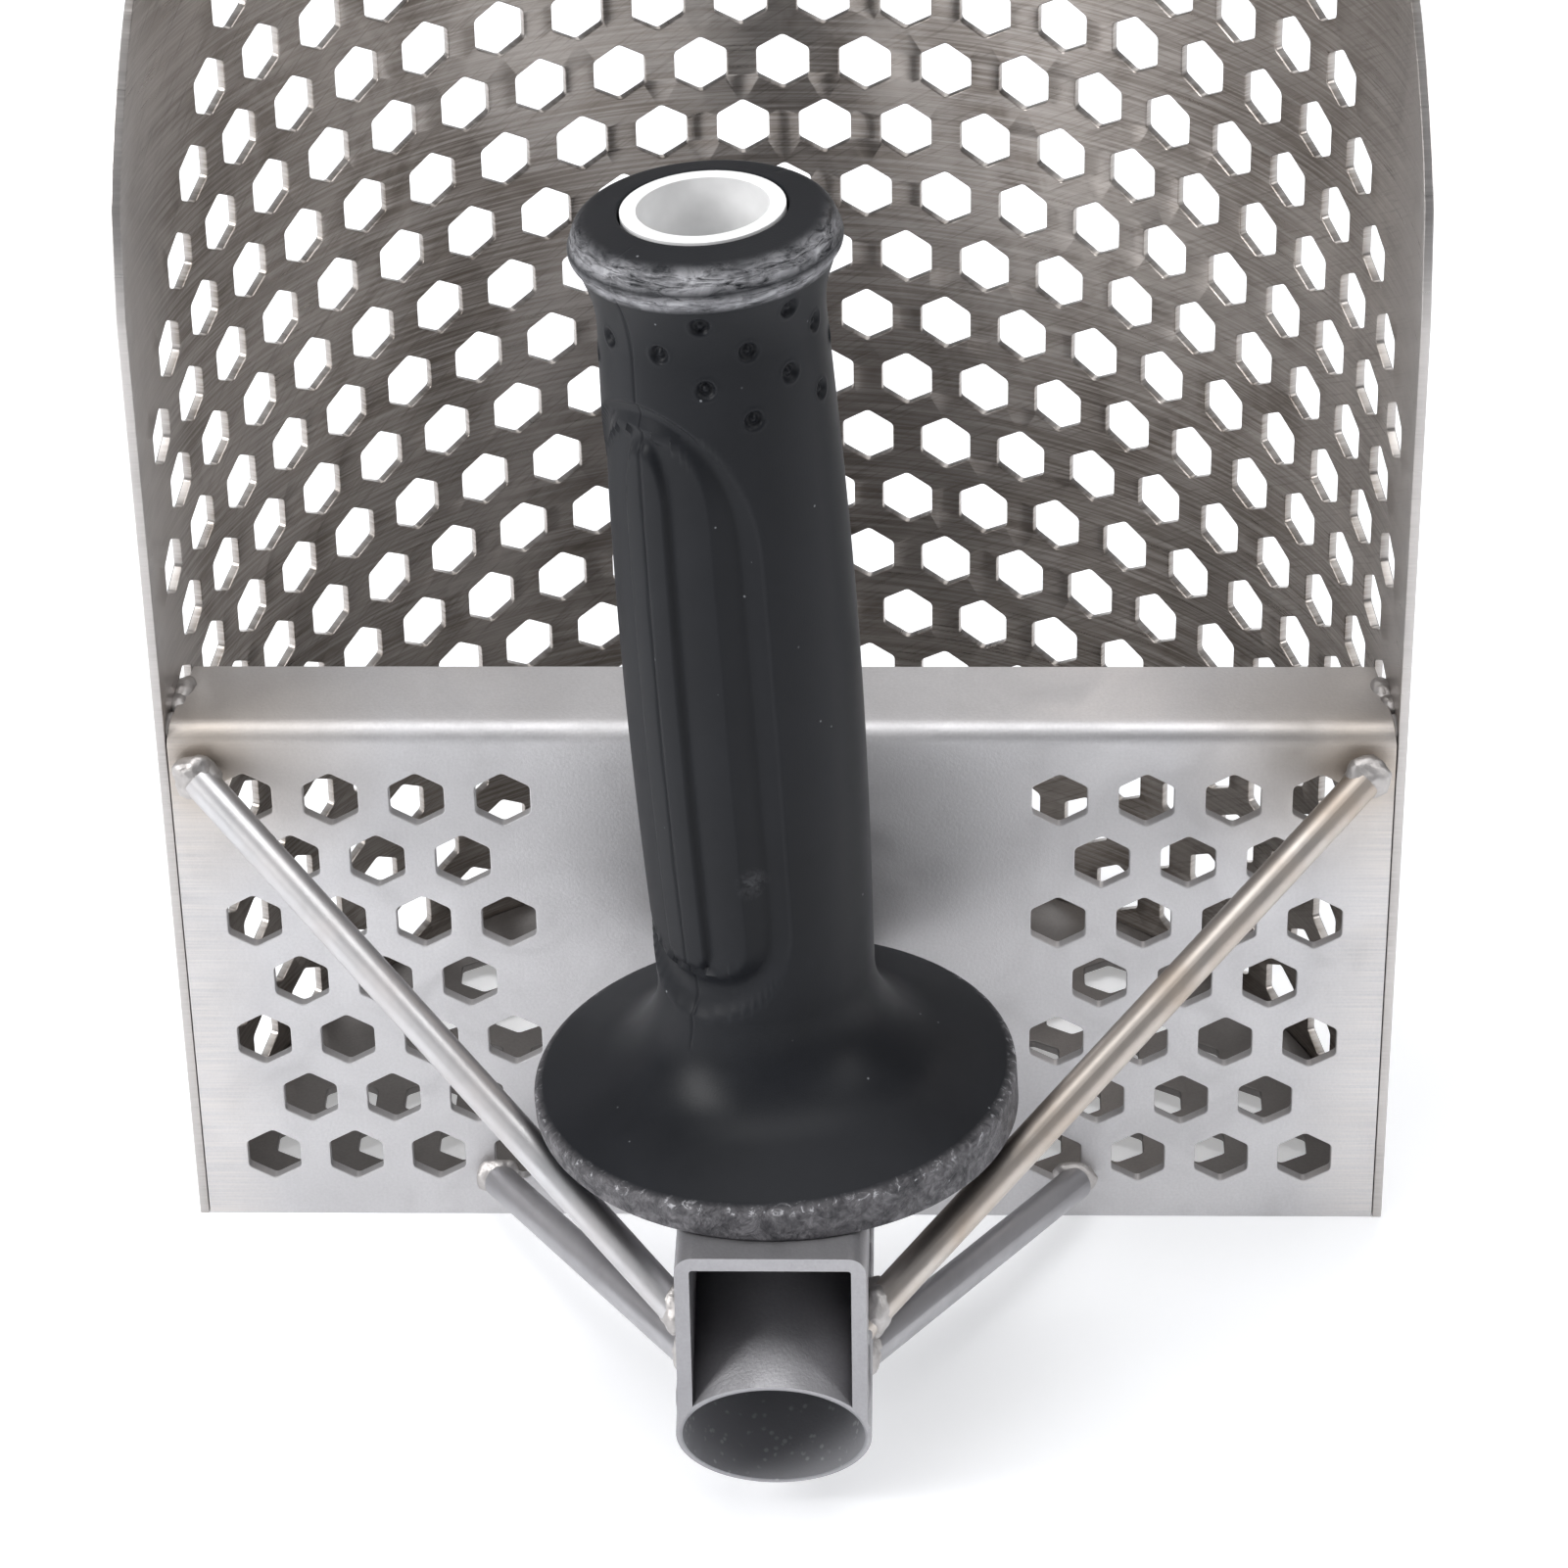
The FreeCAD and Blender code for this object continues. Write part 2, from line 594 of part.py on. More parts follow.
# ------------------------------------------------------------------ other weld beads
def make_corner_welds(plate):
    """Beads where the flange's ends meet the inside of the basket sheet."""
    depth = size("flange_depth") - size("corner_weld_inset")
    at_wall = math.sqrt(basket_inner ** 2 - depth ** 2)
    ball = bead("corner_weld_ball", Vector(at_wall, depth, size("plate_height")),
                size("corner_weld_radius"), size("corner_bead_rise"), Vector(0, 0, 1))
    space = part_object("Part::Cylinder", "corner_weld_space",
                        Radius="sizes.basket_radius - sizes.basket_wall", Height=cell("basket_height"))
    inside = combine("Part::Common", "corner_weld_inside", ball, space)
    right = combine("Part::Cut", "corner_weld_right", inside, plate)
    left = part_object("Part::Mirroring", "corner_weld_left")
    left.Source = right
    left.Normal = Vector(1, 0, 0)
    return group_beads("flange_corner_welds", [right, left])


def make_rear_weld():
    """A fillet bead all round the corner under the rear plate, inside the basket sheet's end."""
    body = doc.addObject("PartDesign::Body", "rear_seam_weld")
    profile = new_sketch(body, "rear_weld_profile", "XZ_Plane")
    bottom = size("rear_inset")
    leg, bulge = size("rear_weld_size"), size("rear_weld_bulge")
    draw_loop(profile, [
        ((basket_inner, bottom), (basket_inner - leg, bottom)),
        ((basket_inner - leg, bottom), (basket_inner - bulge, bottom - bulge), (basket_inner, bottom - leg)),
        ((basket_inner, bottom - leg), (basket_inner, bottom)),
    ])
    # the bead ends short of the flat plate and of the beads along its sides
    end_turn = math.degrees(math.asin((size("plate_wall") + size("seam_weld_radius") + leg) / basket_inner))
    revolution = body.newObject("PartDesign::Revolution", "rear_weld_turn")
    revolution.Profile = profile
    revolution.ReferenceAxis = (profile, ["V_Axis"])
    revolution.Angle = 180 - 2 * end_turn
    body.Tip = revolution
    body.Placement = Placement(Vector(), Rotation(Vector(0, 0, 1), end_turn))
    return body


def make_plate_side_welds():
    """Fillet beads up the inside corners between the flat plate and the basket sheet."""
    beads = []
    wall, leg, bulge = size("plate_wall"), size("seam_weld_radius"), size("seam_weld_bulge")
    at_sheet = math.sqrt(basket_inner ** 2 - wall ** 2)
    for side in (-1, 1):
        body = doc.addObject("PartDesign::Body", "plate_side_" + side_word(side))
        profile = new_sketch(body, "plate_side_profile_" + side_word(side), "XY_Plane")
        corner = (side * at_sheet, wall)
        foot = (side * (at_sheet - leg), wall)
        top = (side * at_sheet, wall + leg)
        draw_loop(profile, [
            (corner, foot),
            (foot, (side * (at_sheet - bulge), wall + bulge), top),
            (top, corner),
        ])
        pad = body.newObject("PartDesign::Pad", "plate_side_pad_" + side_word(side))
        pad.Profile = profile
        pad.Length = size("plate_height") - size("bend_radius") - size("rear_inset") - size("rear_wall")
        body.Tip = pad
        body.Placement = Placement(Vector(0, 0, size("rear_inset") + size("rear_wall")), Rotation())
        space = part_object("Part::Cylinder", "plate_side_space_" + side_word(side),
                            Radius="sizes.basket_radius - sizes.basket_wall", Height=cell("basket_height"))
        beads.append(combine("Part::Common", "plate_side_bead_" + side_word(side), body, space))
    return group_beads("plate_side_welds", beads)


def make_saddle_welds():
    """Beads along the seams where the saddle's legs end on the socket tube."""
    beads = []
    rise = math.sqrt(socket_radius ** 2 - saddle_half ** 2)
    for side in (-1, 1):
        name = "saddle_seam_" + side_word(side)
        start = socket_mouth + Vector(side * saddle_half, 0, 0)
        start += socket_upward * rise + socket_inward * size("seam_weld_radius")
        rod = part_object("Part::Cylinder", name + "_rod", Placement(start, socket_frame.Rotation),
                          Radius=cell("seam_weld_radius"),
                          Height="2 * sizes.socket_diameter + 4 * sizes.guard_radius")
        front = combine("Part::Common", name + "_front", rod, front_space(name + "_front_space"))
        under_web = combine("Part::Common", name + "_under_web", front,
                            below_web(name + "_below_web", size("saddle_corner")))
        beads.append(combine("Part::Cut", name, under_web, socket_envelope(name + "_envelope")))
    return group_beads("saddle_seam_welds", beads)


def make_socket_plate_weld():
    """A bead round the lower half of the socket tube where it meets the flat plate."""
    leg = size("seam_weld_radius")
    fat_tube = part_object("Part::Cylinder", "socket_weld_ring", socket_frame,
                           Radius="sizes.socket_diameter / 2 + sizes.seam_weld_radius",
                           Height="2 * sizes.socket_diameter + 4 * sizes.guard_radius")
    slab = cube("socket_weld_slab", Placement(Vector(-REACH / 2, -leg, -REACH / 2), Rotation()))
    at_plate = combine("Part::Common", "socket_weld_in_slab", fat_tube, slab)
    in_front = combine("Part::Common", "socket_weld_in_front", at_plate, front_space("socket_weld_front"))
    lower = combine("Part::Common", "socket_weld_lower", in_front, socket_lower("socket_weld_space"))
    return combine("Part::Cut", "socket_plate_weld", lower, socket_envelope("socket_weld_envelope"))


# ------------------------------------------------------------------ hand grip
def make_core():
    outer = part_object("Part::Cylinder", "core_outer",
                        grip_frame.multiply(Placement(Vector(0, 0, -size("saddle_wall")), Rotation())),
                        Radius="sizes.core_diameter / 2",
                        Height="sizes.grip_length + sizes.core_proud + sizes.saddle_wall")
    inner = part_object("Part::Cylinder", "core_inner", grip_frame,
                        Radius="sizes.core_diameter / 2 - sizes.core_wall",
                        Height="sizes.grip_length + sizes.core_floor")
    void = combine("Part::Cut", "core_void", inner, below_web("core_floor_level", -size("core_floor")))
    tube = combine("Part::Cut", "core_pipe", outer, void)
    seated = combine("Part::Cut", "core_seated", tube, below_web("core_seat", 0.0))
    return combine("Part::Cut", "grip_core", seated, stud_hole("core_stud_hole"))


def arc_middle(start, end, bulge):
    """The middle of an arc that stands bulge to the left of the straight run from start to end."""
    run = (end[0] - start[0], end[1] - start[1])
    length = math.hypot(*run)
    return (
        (start[0] + end[0]) / 2 - run[1] / length * bulge,
        (start[1] + end[1]) / 2 + run[0] / length * bulge,
    )


def make_rubber():
    body = doc.addObject("PartDesign::Body", "rubber_body")
    profile = new_sketch(body, "rubber_profile", "XZ_Plane")
    bore, guard, top = size("core_diameter") / 2, size("guard_radius"), size("grip_length")
    # the underside starts low enough for the leaning grip to be cut off flat on the saddle
    low = -2 * guard * math.tan(math.radians(size("grip_lean")))
    rim = (guard, size("guard_rim"))
    shoulder = (size("shoulder_radius"), size("shoulder_height"))
    root = (size("root_radius"), size("root_height"))
    neck = (size("neck_radius"), top - size("neck_drop"))
    palm = (size("palm_radius"), (root[1] + neck[1]) / 2)
    ring = (size("ring_radius"), top - size("ring_drop"))
    flat = (size("ring_flat"), top)
    draw_loop(profile, [
        ((bore, low), (guard, low)),
        ((guard, low), rim),
        (rim, shoulder),
        (shoulder, arc_middle(shoulder, root, size("shoulder_hollow")), root),
        (root, palm, neck),
        (neck, arc_middle(neck, ring, size("neck_hollow")), ring),
        (ring, arc_middle(ring, flat, -size("ring_round")), flat),
        (flat, (bore, top)),
        ((bore, top), (bore, low)),
    ])
    revolution = body.newObject("PartDesign::Revolution", "rubber_turn")
    revolution.Profile = profile
    revolution.ReferenceAxis = (profile, ["V_Axis"])
    revolution.Angle = 360
    body.Tip = revolution
    body.Placement = grip_frame
    return combine("Part::Cut", "rubber_grip", body, below_web("rubber_seat", 0.0))


def above_web(depth):
    """The saddle's frame at the grip, moved up by depth."""
    return web_frame.multiply(Placement(Vector(0, 0, depth), Rotation()))


def make_stud():
    """A stud whose foot is flush under the saddle, where it is welded in."""
    clamped = "sizes.saddle_wall + sizes.core_floor + sizes.washer_thickness"
    return part_object("Part::Cylinder", "grip_stud", above_web(-size("saddle_wall")),
                       Radius="sizes.stud_diameter / 2",
                       Height=clamped + " + sizes.nut_height + sizes.stud_end")


def make_washer():
    disc = part_object("Part::Cylinder", "washer_disc", above_web(size("core_floor")),
                       Radius="sizes.washer_diameter / 2", Height=cell("washer_thickness"))
    return combine("Part::Cut", "grip_washer", disc, stud_hole("washer_hole"))


def make_nut():
    frame = above_web(size("core_floor") + size("washer_thickness"))
    block = part_object("Part::Prism", "nut_block", frame,
                        Circumradius="sizes.nut_flats / sqrt(3)", Height=cell("nut_height"))
    block.Polygon = 6
    thread = part_object("Part::Cylinder", "nut_thread", frame,
                         Radius="sizes.stud_diameter / 2", Height=cell("nut_height"))
    return combine("Part::Cut", "grip_nut", block, thread)


# ------------------------------------------------------------------ build
plate = make_flat_plate()
nodes = {
    "basket_sheet": make_basket_sheet(),
    "flat_plate": plate,
    "rear_plate": make_rear_plate(),
    "socket_tube": make_socket_tube(),
    "saddle": make_saddle(),
    "grip_core": make_core(),
    "rubber_grip": make_rubber(),
    "grip_stud": make_stud(),
    "grip_washer": make_washer(),
    "grip_nut": make_nut(),
    "flange_corner_welds": make_corner_welds(plate),
    "rear_seam_weld": make_rear_weld(),
    "plate_side_welds": make_plate_side_welds(),
    "saddle_seam_welds": make_saddle_welds(),
    "socket_plate_weld": make_socket_plate_weld(),
}
for which in ("upper", "lower"):
    pair = []
    for side in (-1, 1):
        label = "%s_strut_%s" % (which, side_word(side))
        nodes[label] = make_strut(which, side, label)
        pair.append((side, nodes[label]))
    nodes[which + "_strut_welds"] = make_strut_welds(which, pair, which + "_strut_welds")

for label, item in nodes.items():
    item.Label = label
doc.recompute()

for item in doc.Objects:
    if "Invalid" in item.State or "Error" in item.State:
        raise RuntimeError("%s did not build: %s" % (item.Name, item.State))
for label, item in nodes.items():
    if item.Shape.isNull() or not item.Shape.isValid() or not item.Shape.Solids:
        raise RuntimeError(label + " has no valid solid")

os.makedirs("parts", exist_ok=True)
for label, item in nodes.items():
    item.Shape.exportStep("parts/%s.step" % label)
    box = item.Shape.optimalBoundingBox(True, False)
    print("%-22s solids %3d  volume %10.1f  box %s" % (
        label, len(item.Shape.Solids), item.Shape.Volume,
        [round(v, 2) for v in (box.XMin, box.YMin, box.ZMin, box.XMax, box.YMax, box.ZMax)]))
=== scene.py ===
"""Looks of the beach sand scoop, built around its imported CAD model.

Shapes are worked out in millimetres. Materials, lights and the floor are in metres.
"""

import math

import bmesh
import bpy
import numpy as np
from mathutils import Matrix, Vector, noise
from mathutils.geometry import delaunay_2d_cdt


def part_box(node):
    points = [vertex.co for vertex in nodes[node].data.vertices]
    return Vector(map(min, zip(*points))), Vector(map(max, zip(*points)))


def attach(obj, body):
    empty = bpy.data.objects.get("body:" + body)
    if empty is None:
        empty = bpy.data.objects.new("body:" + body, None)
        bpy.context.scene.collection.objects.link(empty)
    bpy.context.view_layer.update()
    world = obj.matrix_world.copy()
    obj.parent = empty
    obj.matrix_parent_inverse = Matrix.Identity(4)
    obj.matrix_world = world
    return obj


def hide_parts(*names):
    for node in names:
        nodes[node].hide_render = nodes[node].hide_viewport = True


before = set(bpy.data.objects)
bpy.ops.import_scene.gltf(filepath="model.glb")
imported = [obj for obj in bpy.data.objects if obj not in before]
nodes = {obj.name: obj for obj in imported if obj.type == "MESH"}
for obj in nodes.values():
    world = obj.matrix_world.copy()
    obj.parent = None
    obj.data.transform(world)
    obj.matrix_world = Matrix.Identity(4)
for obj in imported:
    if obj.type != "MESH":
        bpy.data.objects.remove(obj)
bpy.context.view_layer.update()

MM = 0.001


def box_mm(node):
    """Lowest and highest corner of a CAD node, in millimetres."""
    low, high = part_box(node)
    return low / MM, high / MM


# ------------------------------------------------------------------ sizes
_, basket_high = box_mm("basket_sheet")
_, plate_high = box_mm("flat_plate")
rear_low, rear_high = box_mm("rear_plate")

# basket: its curve and wall, the sweep of its side edges and the curve of its lip
BASKET_RADIUS = basket_high.x
BASKET_HEIGHT = basket_high.z
BASKET_WALL = 1.2
BASKET_MIDDLE = BASKET_RADIUS - BASKET_WALL / 2
SIDE_SWEEP = math.radians(33.0)
SIDE_BEND = 30.0
LIP_DEPTH = 29.0
LIP_CURVE = 81.7

# holes, and the plain strips that they leave along the basket's edges
HEX_FLATS = 7.0
HEX_PITCH = 11.0
HEX_ROUND = 0.8
ROW_STEP = HEX_PITCH * math.sqrt(3) / 2
BELLY_FIRST_ROW = 8.8
BELLY_SHIFT = -0.7
EDGE_STRIP = 9.0
SWEPT_STRIP = 22.0
LIP_STRIP = 24.0

# flat plate with its flange, and the margins of its two fields of holes
PLATE_HALF = plate_high.x
PLATE_TOP = plate_high.z
PLATE_WALL = 1.5
PLATE_BEND = 2.5
FLANGE_DEPTH = plate_high.y
PLATE_FIRST_ROW = 10.0
PLATE_TOP_MARGIN = 10.0
PLATE_SIDE_MARGIN = 9.3
PLATE_PLAIN_HALF = 35.0
# the flange's ends are cut straight, so a thin crevice opens between them and the round sheet
FLANGE_END_NEAR = 77.3
FLANGE_END_FAR = 75.8

REAR_WALL = rear_high.z - rear_low.z
REAR_MIDDLE = (rear_high.z + rear_low.z) / 2
REAR_MARGIN = 10.0

# mesh of the sheets: softened edges, and the distances between its points
SHEET_BEVEL = 0.14
OUTLINE_STEP = 3.0
FILL_MARGIN = 1.2
HOLE_CLEAR = 4.9

# socket tube: the middle of its mouth and its direction towards the plate
SOCKET_MOUTH = (0.0, -63.0, 16.2)
SOCKET_AXIS = (0.0, 0.9385, 0.3453)

# grip: its foot on the saddle, the saddle's fall, the grip's lean, and its sizes
GRIP_FOOT = Vector((0.0, -31.1, 43.49))
SADDLE_FALL = math.radians(2.6)
GRIP_LEAN = math.radians(3.05)
WEB_NORMAL = Vector((0.0, math.sin(SADDLE_FALL), math.cos(SADDLE_FALL)))
GRIP_TURN = Matrix.Rotation(-SADDLE_FALL, 3, "X") @ Matrix.Rotation(-GRIP_LEAN, 3, "Y")
GRIP_RIGHT = GRIP_TURN @ Vector((1, 0, 0))
GRIP_BACK = GRIP_TURN @ Vector((0, 1, 0))
GRIP_AXIS = GRIP_TURN @ Vector((0, 0, 1))
CORE_RADIUS = 9.5
GRIP_TOP = 122.6
GUARD_RADIUS = 30.0
GUARD_RIM = 4.5
GRIP_ROOT = 13.35
GRIP_PALM = 14.3
GRIP_NECK = 13.2
GRIP_RING = 15.65
ROOT_HEIGHT = 19.8
NECK_HEIGHT = GRIP_TOP - 13.3
RING_FOOT = GRIP_TOP - 5.2


# ------------------------------------------------------------------ mesh helpers
def new_piece(name, verts, faces, replaced, sharp):
    """A mesh piece from points in millimetres, riding on the one body, standing for CAD nodes."""
    mesh = bpy.data.meshes.new(name)
    mesh.from_pydata([tuple(x * MM for x in v) for v in verts], [], [tuple(f) for f in faces])
    work = bmesh.new()
    work.from_mesh(mesh)
    bmesh.ops.recalc_face_normals(work, faces=work.faces)
    work.to_mesh(mesh)
    work.free()
    mesh.shade_smooth()
    mesh.set_sharp_from_angle(angle=math.radians(sharp))
    piece = bpy.data.objects.new(name, mesh)
    bpy.context.scene.collection.objects.link(piece)
    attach(piece, "root")
    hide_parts(*replaced)
    return piece


def grid_faces(rings, columns):
    """Faces between neighbouring closed rings that have the same number of points."""
    faces = []
    for i in range(rings - 1):
        here, above = i * columns, (i + 1) * columns
        for k in range(columns):
            after = (k + 1) % columns
            faces.append((here + k, here + after, above + after, above + k))
    return faces


def hex_loop(centre):
    """A hexagonal hole with rounded corners, two of them up and down: points and normals into the sheet."""
    corner_out = HEX_FLATS / math.sqrt(3) - HEX_ROUND / math.cos(math.radians(30))
    points, normals = [], []
    for turn in range(6):
        middle = math.radians(90 + 60 * turn)
        for part in (-30, -10, 10, 30):
            angle = middle + math.radians(part)
            normal = np.array((math.cos(angle), math.sin(angle)))
            corner = np.array(centre) + corner_out * np.array((math.cos(middle), math.sin(middle)))
            points.append(corner + HEX_ROUND * normal)
            normals.append(normal)
    return np.array(points), np.array(normals)


def outline_loop(points):
    """A closed outline with normals that point into the sheet. The points run anticlockwise."""
    points = np.array(points)
    ahead = np.roll(points, -1, 0) - points
    behind = points - np.roll(points, 1, 0)
    ahead /= np.linalg.norm(ahead, axis=1)[:, None]
    behind /= np.linalg.norm(behind, axis=1)[:, None]
    along = ahead + behind
    along /= np.linalg.norm(along, axis=1)[:, None]
    # at a corner the offset point stands further along the bisector
    reach = 1 / np.clip((along * ahead).sum(1), 0.5, 1)
    normals = np.stack((-along[:, 1], along[:, 0]), 1) * reach[:, None]
    return points, normals


def perforated_sheet(name, outline, centres, fill, thickness, place, replaced):
    """A sheet with hexagonal holes and softened edges. It is meshed flat and bent by place(u, v, w)."""
    loops = [outline_loop(outline)] + [hex_loop(c) for c in centres]
    half, bevel = thickness / 2, SHEET_BEVEL
    flat, edges, owner = [], [], []
    for number, (points, normals) in enumerate(loops):
        first, count = len(flat), len(points)
        flat.extend(points + normals * bevel)
        edges.extend((first + i, first + (i + 1) % count) for i in range(count))
        owner.extend([number] * count)
    flat.extend(fill)
    owner.extend([-1] * len(fill))
    spots, _, triangles, sources, _, _ = delaunay_2d_cdt([Vector(p) for p in flat], edges, [], 1, 1e-7)
    # triangles whose corners are all on one hole's edge fill that hole, so they are left out
    whose = [owner[s[0]] if s else -1 for s in sources]
    kept = [t for t in triangles if not (whose[t[0]] > 0 and whose[t[0]] == whose[t[1]] == whose[t[2]])]
    new_index = {s[0]: i for i, s in enumerate(sources) if s}

    verts = [place(p[0], p[1], half) for p in spots]
    verts += [place(p[0], p[1], -half) for p in spots]
    faces = [tuple(t) for t in kept] + [tuple(i + len(spots) for i in reversed(t)) for t in kept]
    # each loop gets a wall with a bevel in two steps at both of its edges
    steps = ((0.3, 1 - 0.3 * bevel / half), (0, 1 - bevel / half),
             (0, bevel / half - 1), (0.3, 0.3 * bevel / half - 1))
    first = 0
    for points, normals in loops:
        count = len(points)
        rings = [[new_index[first + i] for i in range(count)]]
        for inset, level in steps:
            ring = []
            for p, n in zip(points, normals):
                ring.append(len(verts))
                verts.append(place(*(p + n * bevel * inset), half * level))
            rings.append(ring)
        rings.append([new_index[first + i] + len(spots) for i in range(count)])
        for near, far in zip(rings, rings[1:]):
            faces.extend((near[i], near[(i + 1) % count], far[(i + 1) % count], far[i]) for i in range(count))
        first += count
    return new_piece(name, verts, faces, replaced, sharp=22.0)


def inside(point, outline, margin):
    """Whether a point lies inside an outline and at least margin from it."""
    x, y = point
    a = np.array(outline)
    b = np.roll(a, -1, 0)
    crossing = (a[:, 1] > y) != (b[:, 1] > y)
    height = np.where(b[:, 1] == a[:, 1], 1.0, b[:, 1] - a[:, 1])
    at = a[:, 0] + (y - a[:, 1]) / height * (b[:, 0] - a[:, 0])
    if np.count_nonzero(crossing & (x < at)) % 2 == 0:
        return False
    run = b - a
    share = np.clip(((np.array(point) - a) * run).sum(1) / (run ** 2).sum(1), 0, 1)
    return np.linalg.norm(a + run * share[:, None] - np.array(point), axis=1).min() > margin


def fill_points(outline, centres, step):
    """Points of a triangular grid inside the outline that keep clear of the holes."""
    taken = np.array(centres)
    a = np.array(outline)
    low, high = a.min(0), a.max(0)
    found = []
    row = 0
    y = low[1] + step / 2
    while y < high[1]:
        x = low[0] + (step / 2 if row % 2 else 0)
        while x < high[0]:
            clear = np.linalg.norm(taken - (x, y), axis=1).min() >= HOLE_CLEAR
            if clear and inside((x, y), outline, FILL_MARGIN):
                found.append((x, y))
            x += step
        y += step * math.sqrt(3) / 2
        row += 1
    return found


def spaced(start, end, step):
    """Evenly spaced points from start up to, but not including, end."""
    count = max(1, round(math.hypot(end[0] - start[0], end[1] - start[1]) / step))
    return [(start[0] + (end[0] - start[0]) * i / count, start[1] + (end[1] - start[1]) * i / count)
            for i in range(count)]


# ------------------------------------------------------------------ basket sheet
LIP_TURN = math.acos(math.cos(SIDE_SWEEP) - LIP_DEPTH / LIP_CURVE)
LIP_START_DEPTH = BASKET_RADIUS - LIP_DEPTH
LIP_START_HEIGHT = BASKET_HEIGHT - LIP_CURVE * (math.sin(LIP_TURN) - math.sin(SIDE_SWEEP))
SIDE_CORNER = LIP_START_HEIGHT - LIP_START_DEPTH / math.tan(SIDE_SWEEP)


def edge_height(depth):
    """Height of the basket's side edge at this depth."""
    # a rounded corner, then the straight sweep, then the lip's arc
    tangent = SIDE_BEND * math.tan(SIDE_SWEEP / 2)
    if depth < tangent * math.sin(SIDE_SWEEP):
        turn = math.acos(1 - max(depth, 0.0) / SIDE_BEND)
        return SIDE_CORNER - tangent + SIDE_BEND * math.sin(turn)
    if depth < LIP_START_DEPTH:
        return SIDE_CORNER + depth / math.tan(SIDE_SWEEP)
    turn = math.acos(max(-1.0, math.cos(SIDE_SWEEP) - (depth - LIP_START_DEPTH) / LIP_CURVE))
    return LIP_START_HEIGHT + LIP_CURVE * (math.sin(turn) - math.sin(SIDE_SWEEP))


def developed(depth):
    """Length along the sheet from its free edge to a point this deep in the basket."""
    if depth <= 0:
        return depth
    return BASKET_RADIUS * math.asin(min(1.0, depth / BASKET_RADIUS))


def belly_place(u, v, w):
    """Bends the flat sheet round the basket: u along it, v up, w out of its middle."""
    turn = u / BASKET_MIDDLE
    radius = BASKET_MIDDLE + w
    return (radius * math.sin(turn), radius * math.cos(turn), v)


def make_basket():
    """The half-round perforated sheet with its swept side edges and rounded lip."""
    half_width = BASKET_MIDDLE * math.pi / 2
    right = []
    count = round(half_width / OUTLINE_STEP)
    for i in range(count + 1):
        u = half_width * (1 - i / count)
        depth = BASKET_RADIUS * math.cos(u / BASKET_MIDDLE)
        right.append((u, edge_height(depth)))
    left = [(-u, v) for u, v in reversed(right[:-1])]
    outline = spaced((-half_width, 0), (half_width, 0), OUTLINE_STEP)
    outline += spaced((half_width, 0), right[0], OUTLINE_STEP)
    outline += right + left
    outline += spaced(left[-1], (-half_width, 0), OUTLINE_STEP)[1:]

    centres = []
    row = 0
    reach = math.ceil(half_width / HEX_PITCH)
    while BELLY_FIRST_ROW + row * ROW_STEP <= BASKET_HEIGHT - LIP_STRIP:
        height = BELLY_FIRST_ROW + row * ROW_STEP
        offset = 0.0 if row % 2 else 0.5
        for step in range(-reach, reach + 1):
            u = (step + offset) * HEX_PITCH + BELLY_SHIFT
            if abs(u) > half_width:
                continue
            along = developed(BASKET_MIDDLE * math.cos(u / BASKET_MIDDLE))
            swept = min((height - SIDE_CORNER) * math.tan(SIDE_SWEEP), LIP_START_DEPTH)
            gap = (along - developed(swept)) * math.cos(SIDE_SWEEP)
            if along >= EDGE_STRIP and gap >= SWEPT_STRIP:
                centres.append((u, height))
        row += 1
    fill = fill_points(outline, centres, HEX_PITCH / math.sqrt(3) * 0.8)
    return perforated_sheet("basket", outline, centres, fill, BASKET_WALL, belly_place,
                            ["basket_sheet"])


# ------------------------------------------------------------------ flat plate with its flange
BEND_START = PLATE_TOP - PLATE_BEND
BEND_MIDDLE_RADIUS = PLATE_BEND - PLATE_WALL / 2
BEND_LENGTH = BEND_MIDDLE_RADIUS * math.pi / 2
PLATE_LENGTH = BEND_START + BEND_LENGTH + FLANGE_DEPTH - PLATE_BEND


def plate_place(u, v, w):
    """Bends the flat blank into the upright plate, its bend and its flange."""
    if v <= BEND_START:
        return (u, PLATE_WALL / 2 - w, v)
    if v <= BEND_START + BEND_LENGTH:
        turn = (v - BEND_START) / BEND_MIDDLE_RADIUS
        radius = BEND_MIDDLE_RADIUS + w
        return (u, PLATE_BEND - radius * math.cos(turn), BEND_START + radius * math.sin(turn))
    return (u, PLATE_BEND + v - BEND_START - BEND_LENGTH, PLATE_TOP - PLATE_WALL / 2 + w)


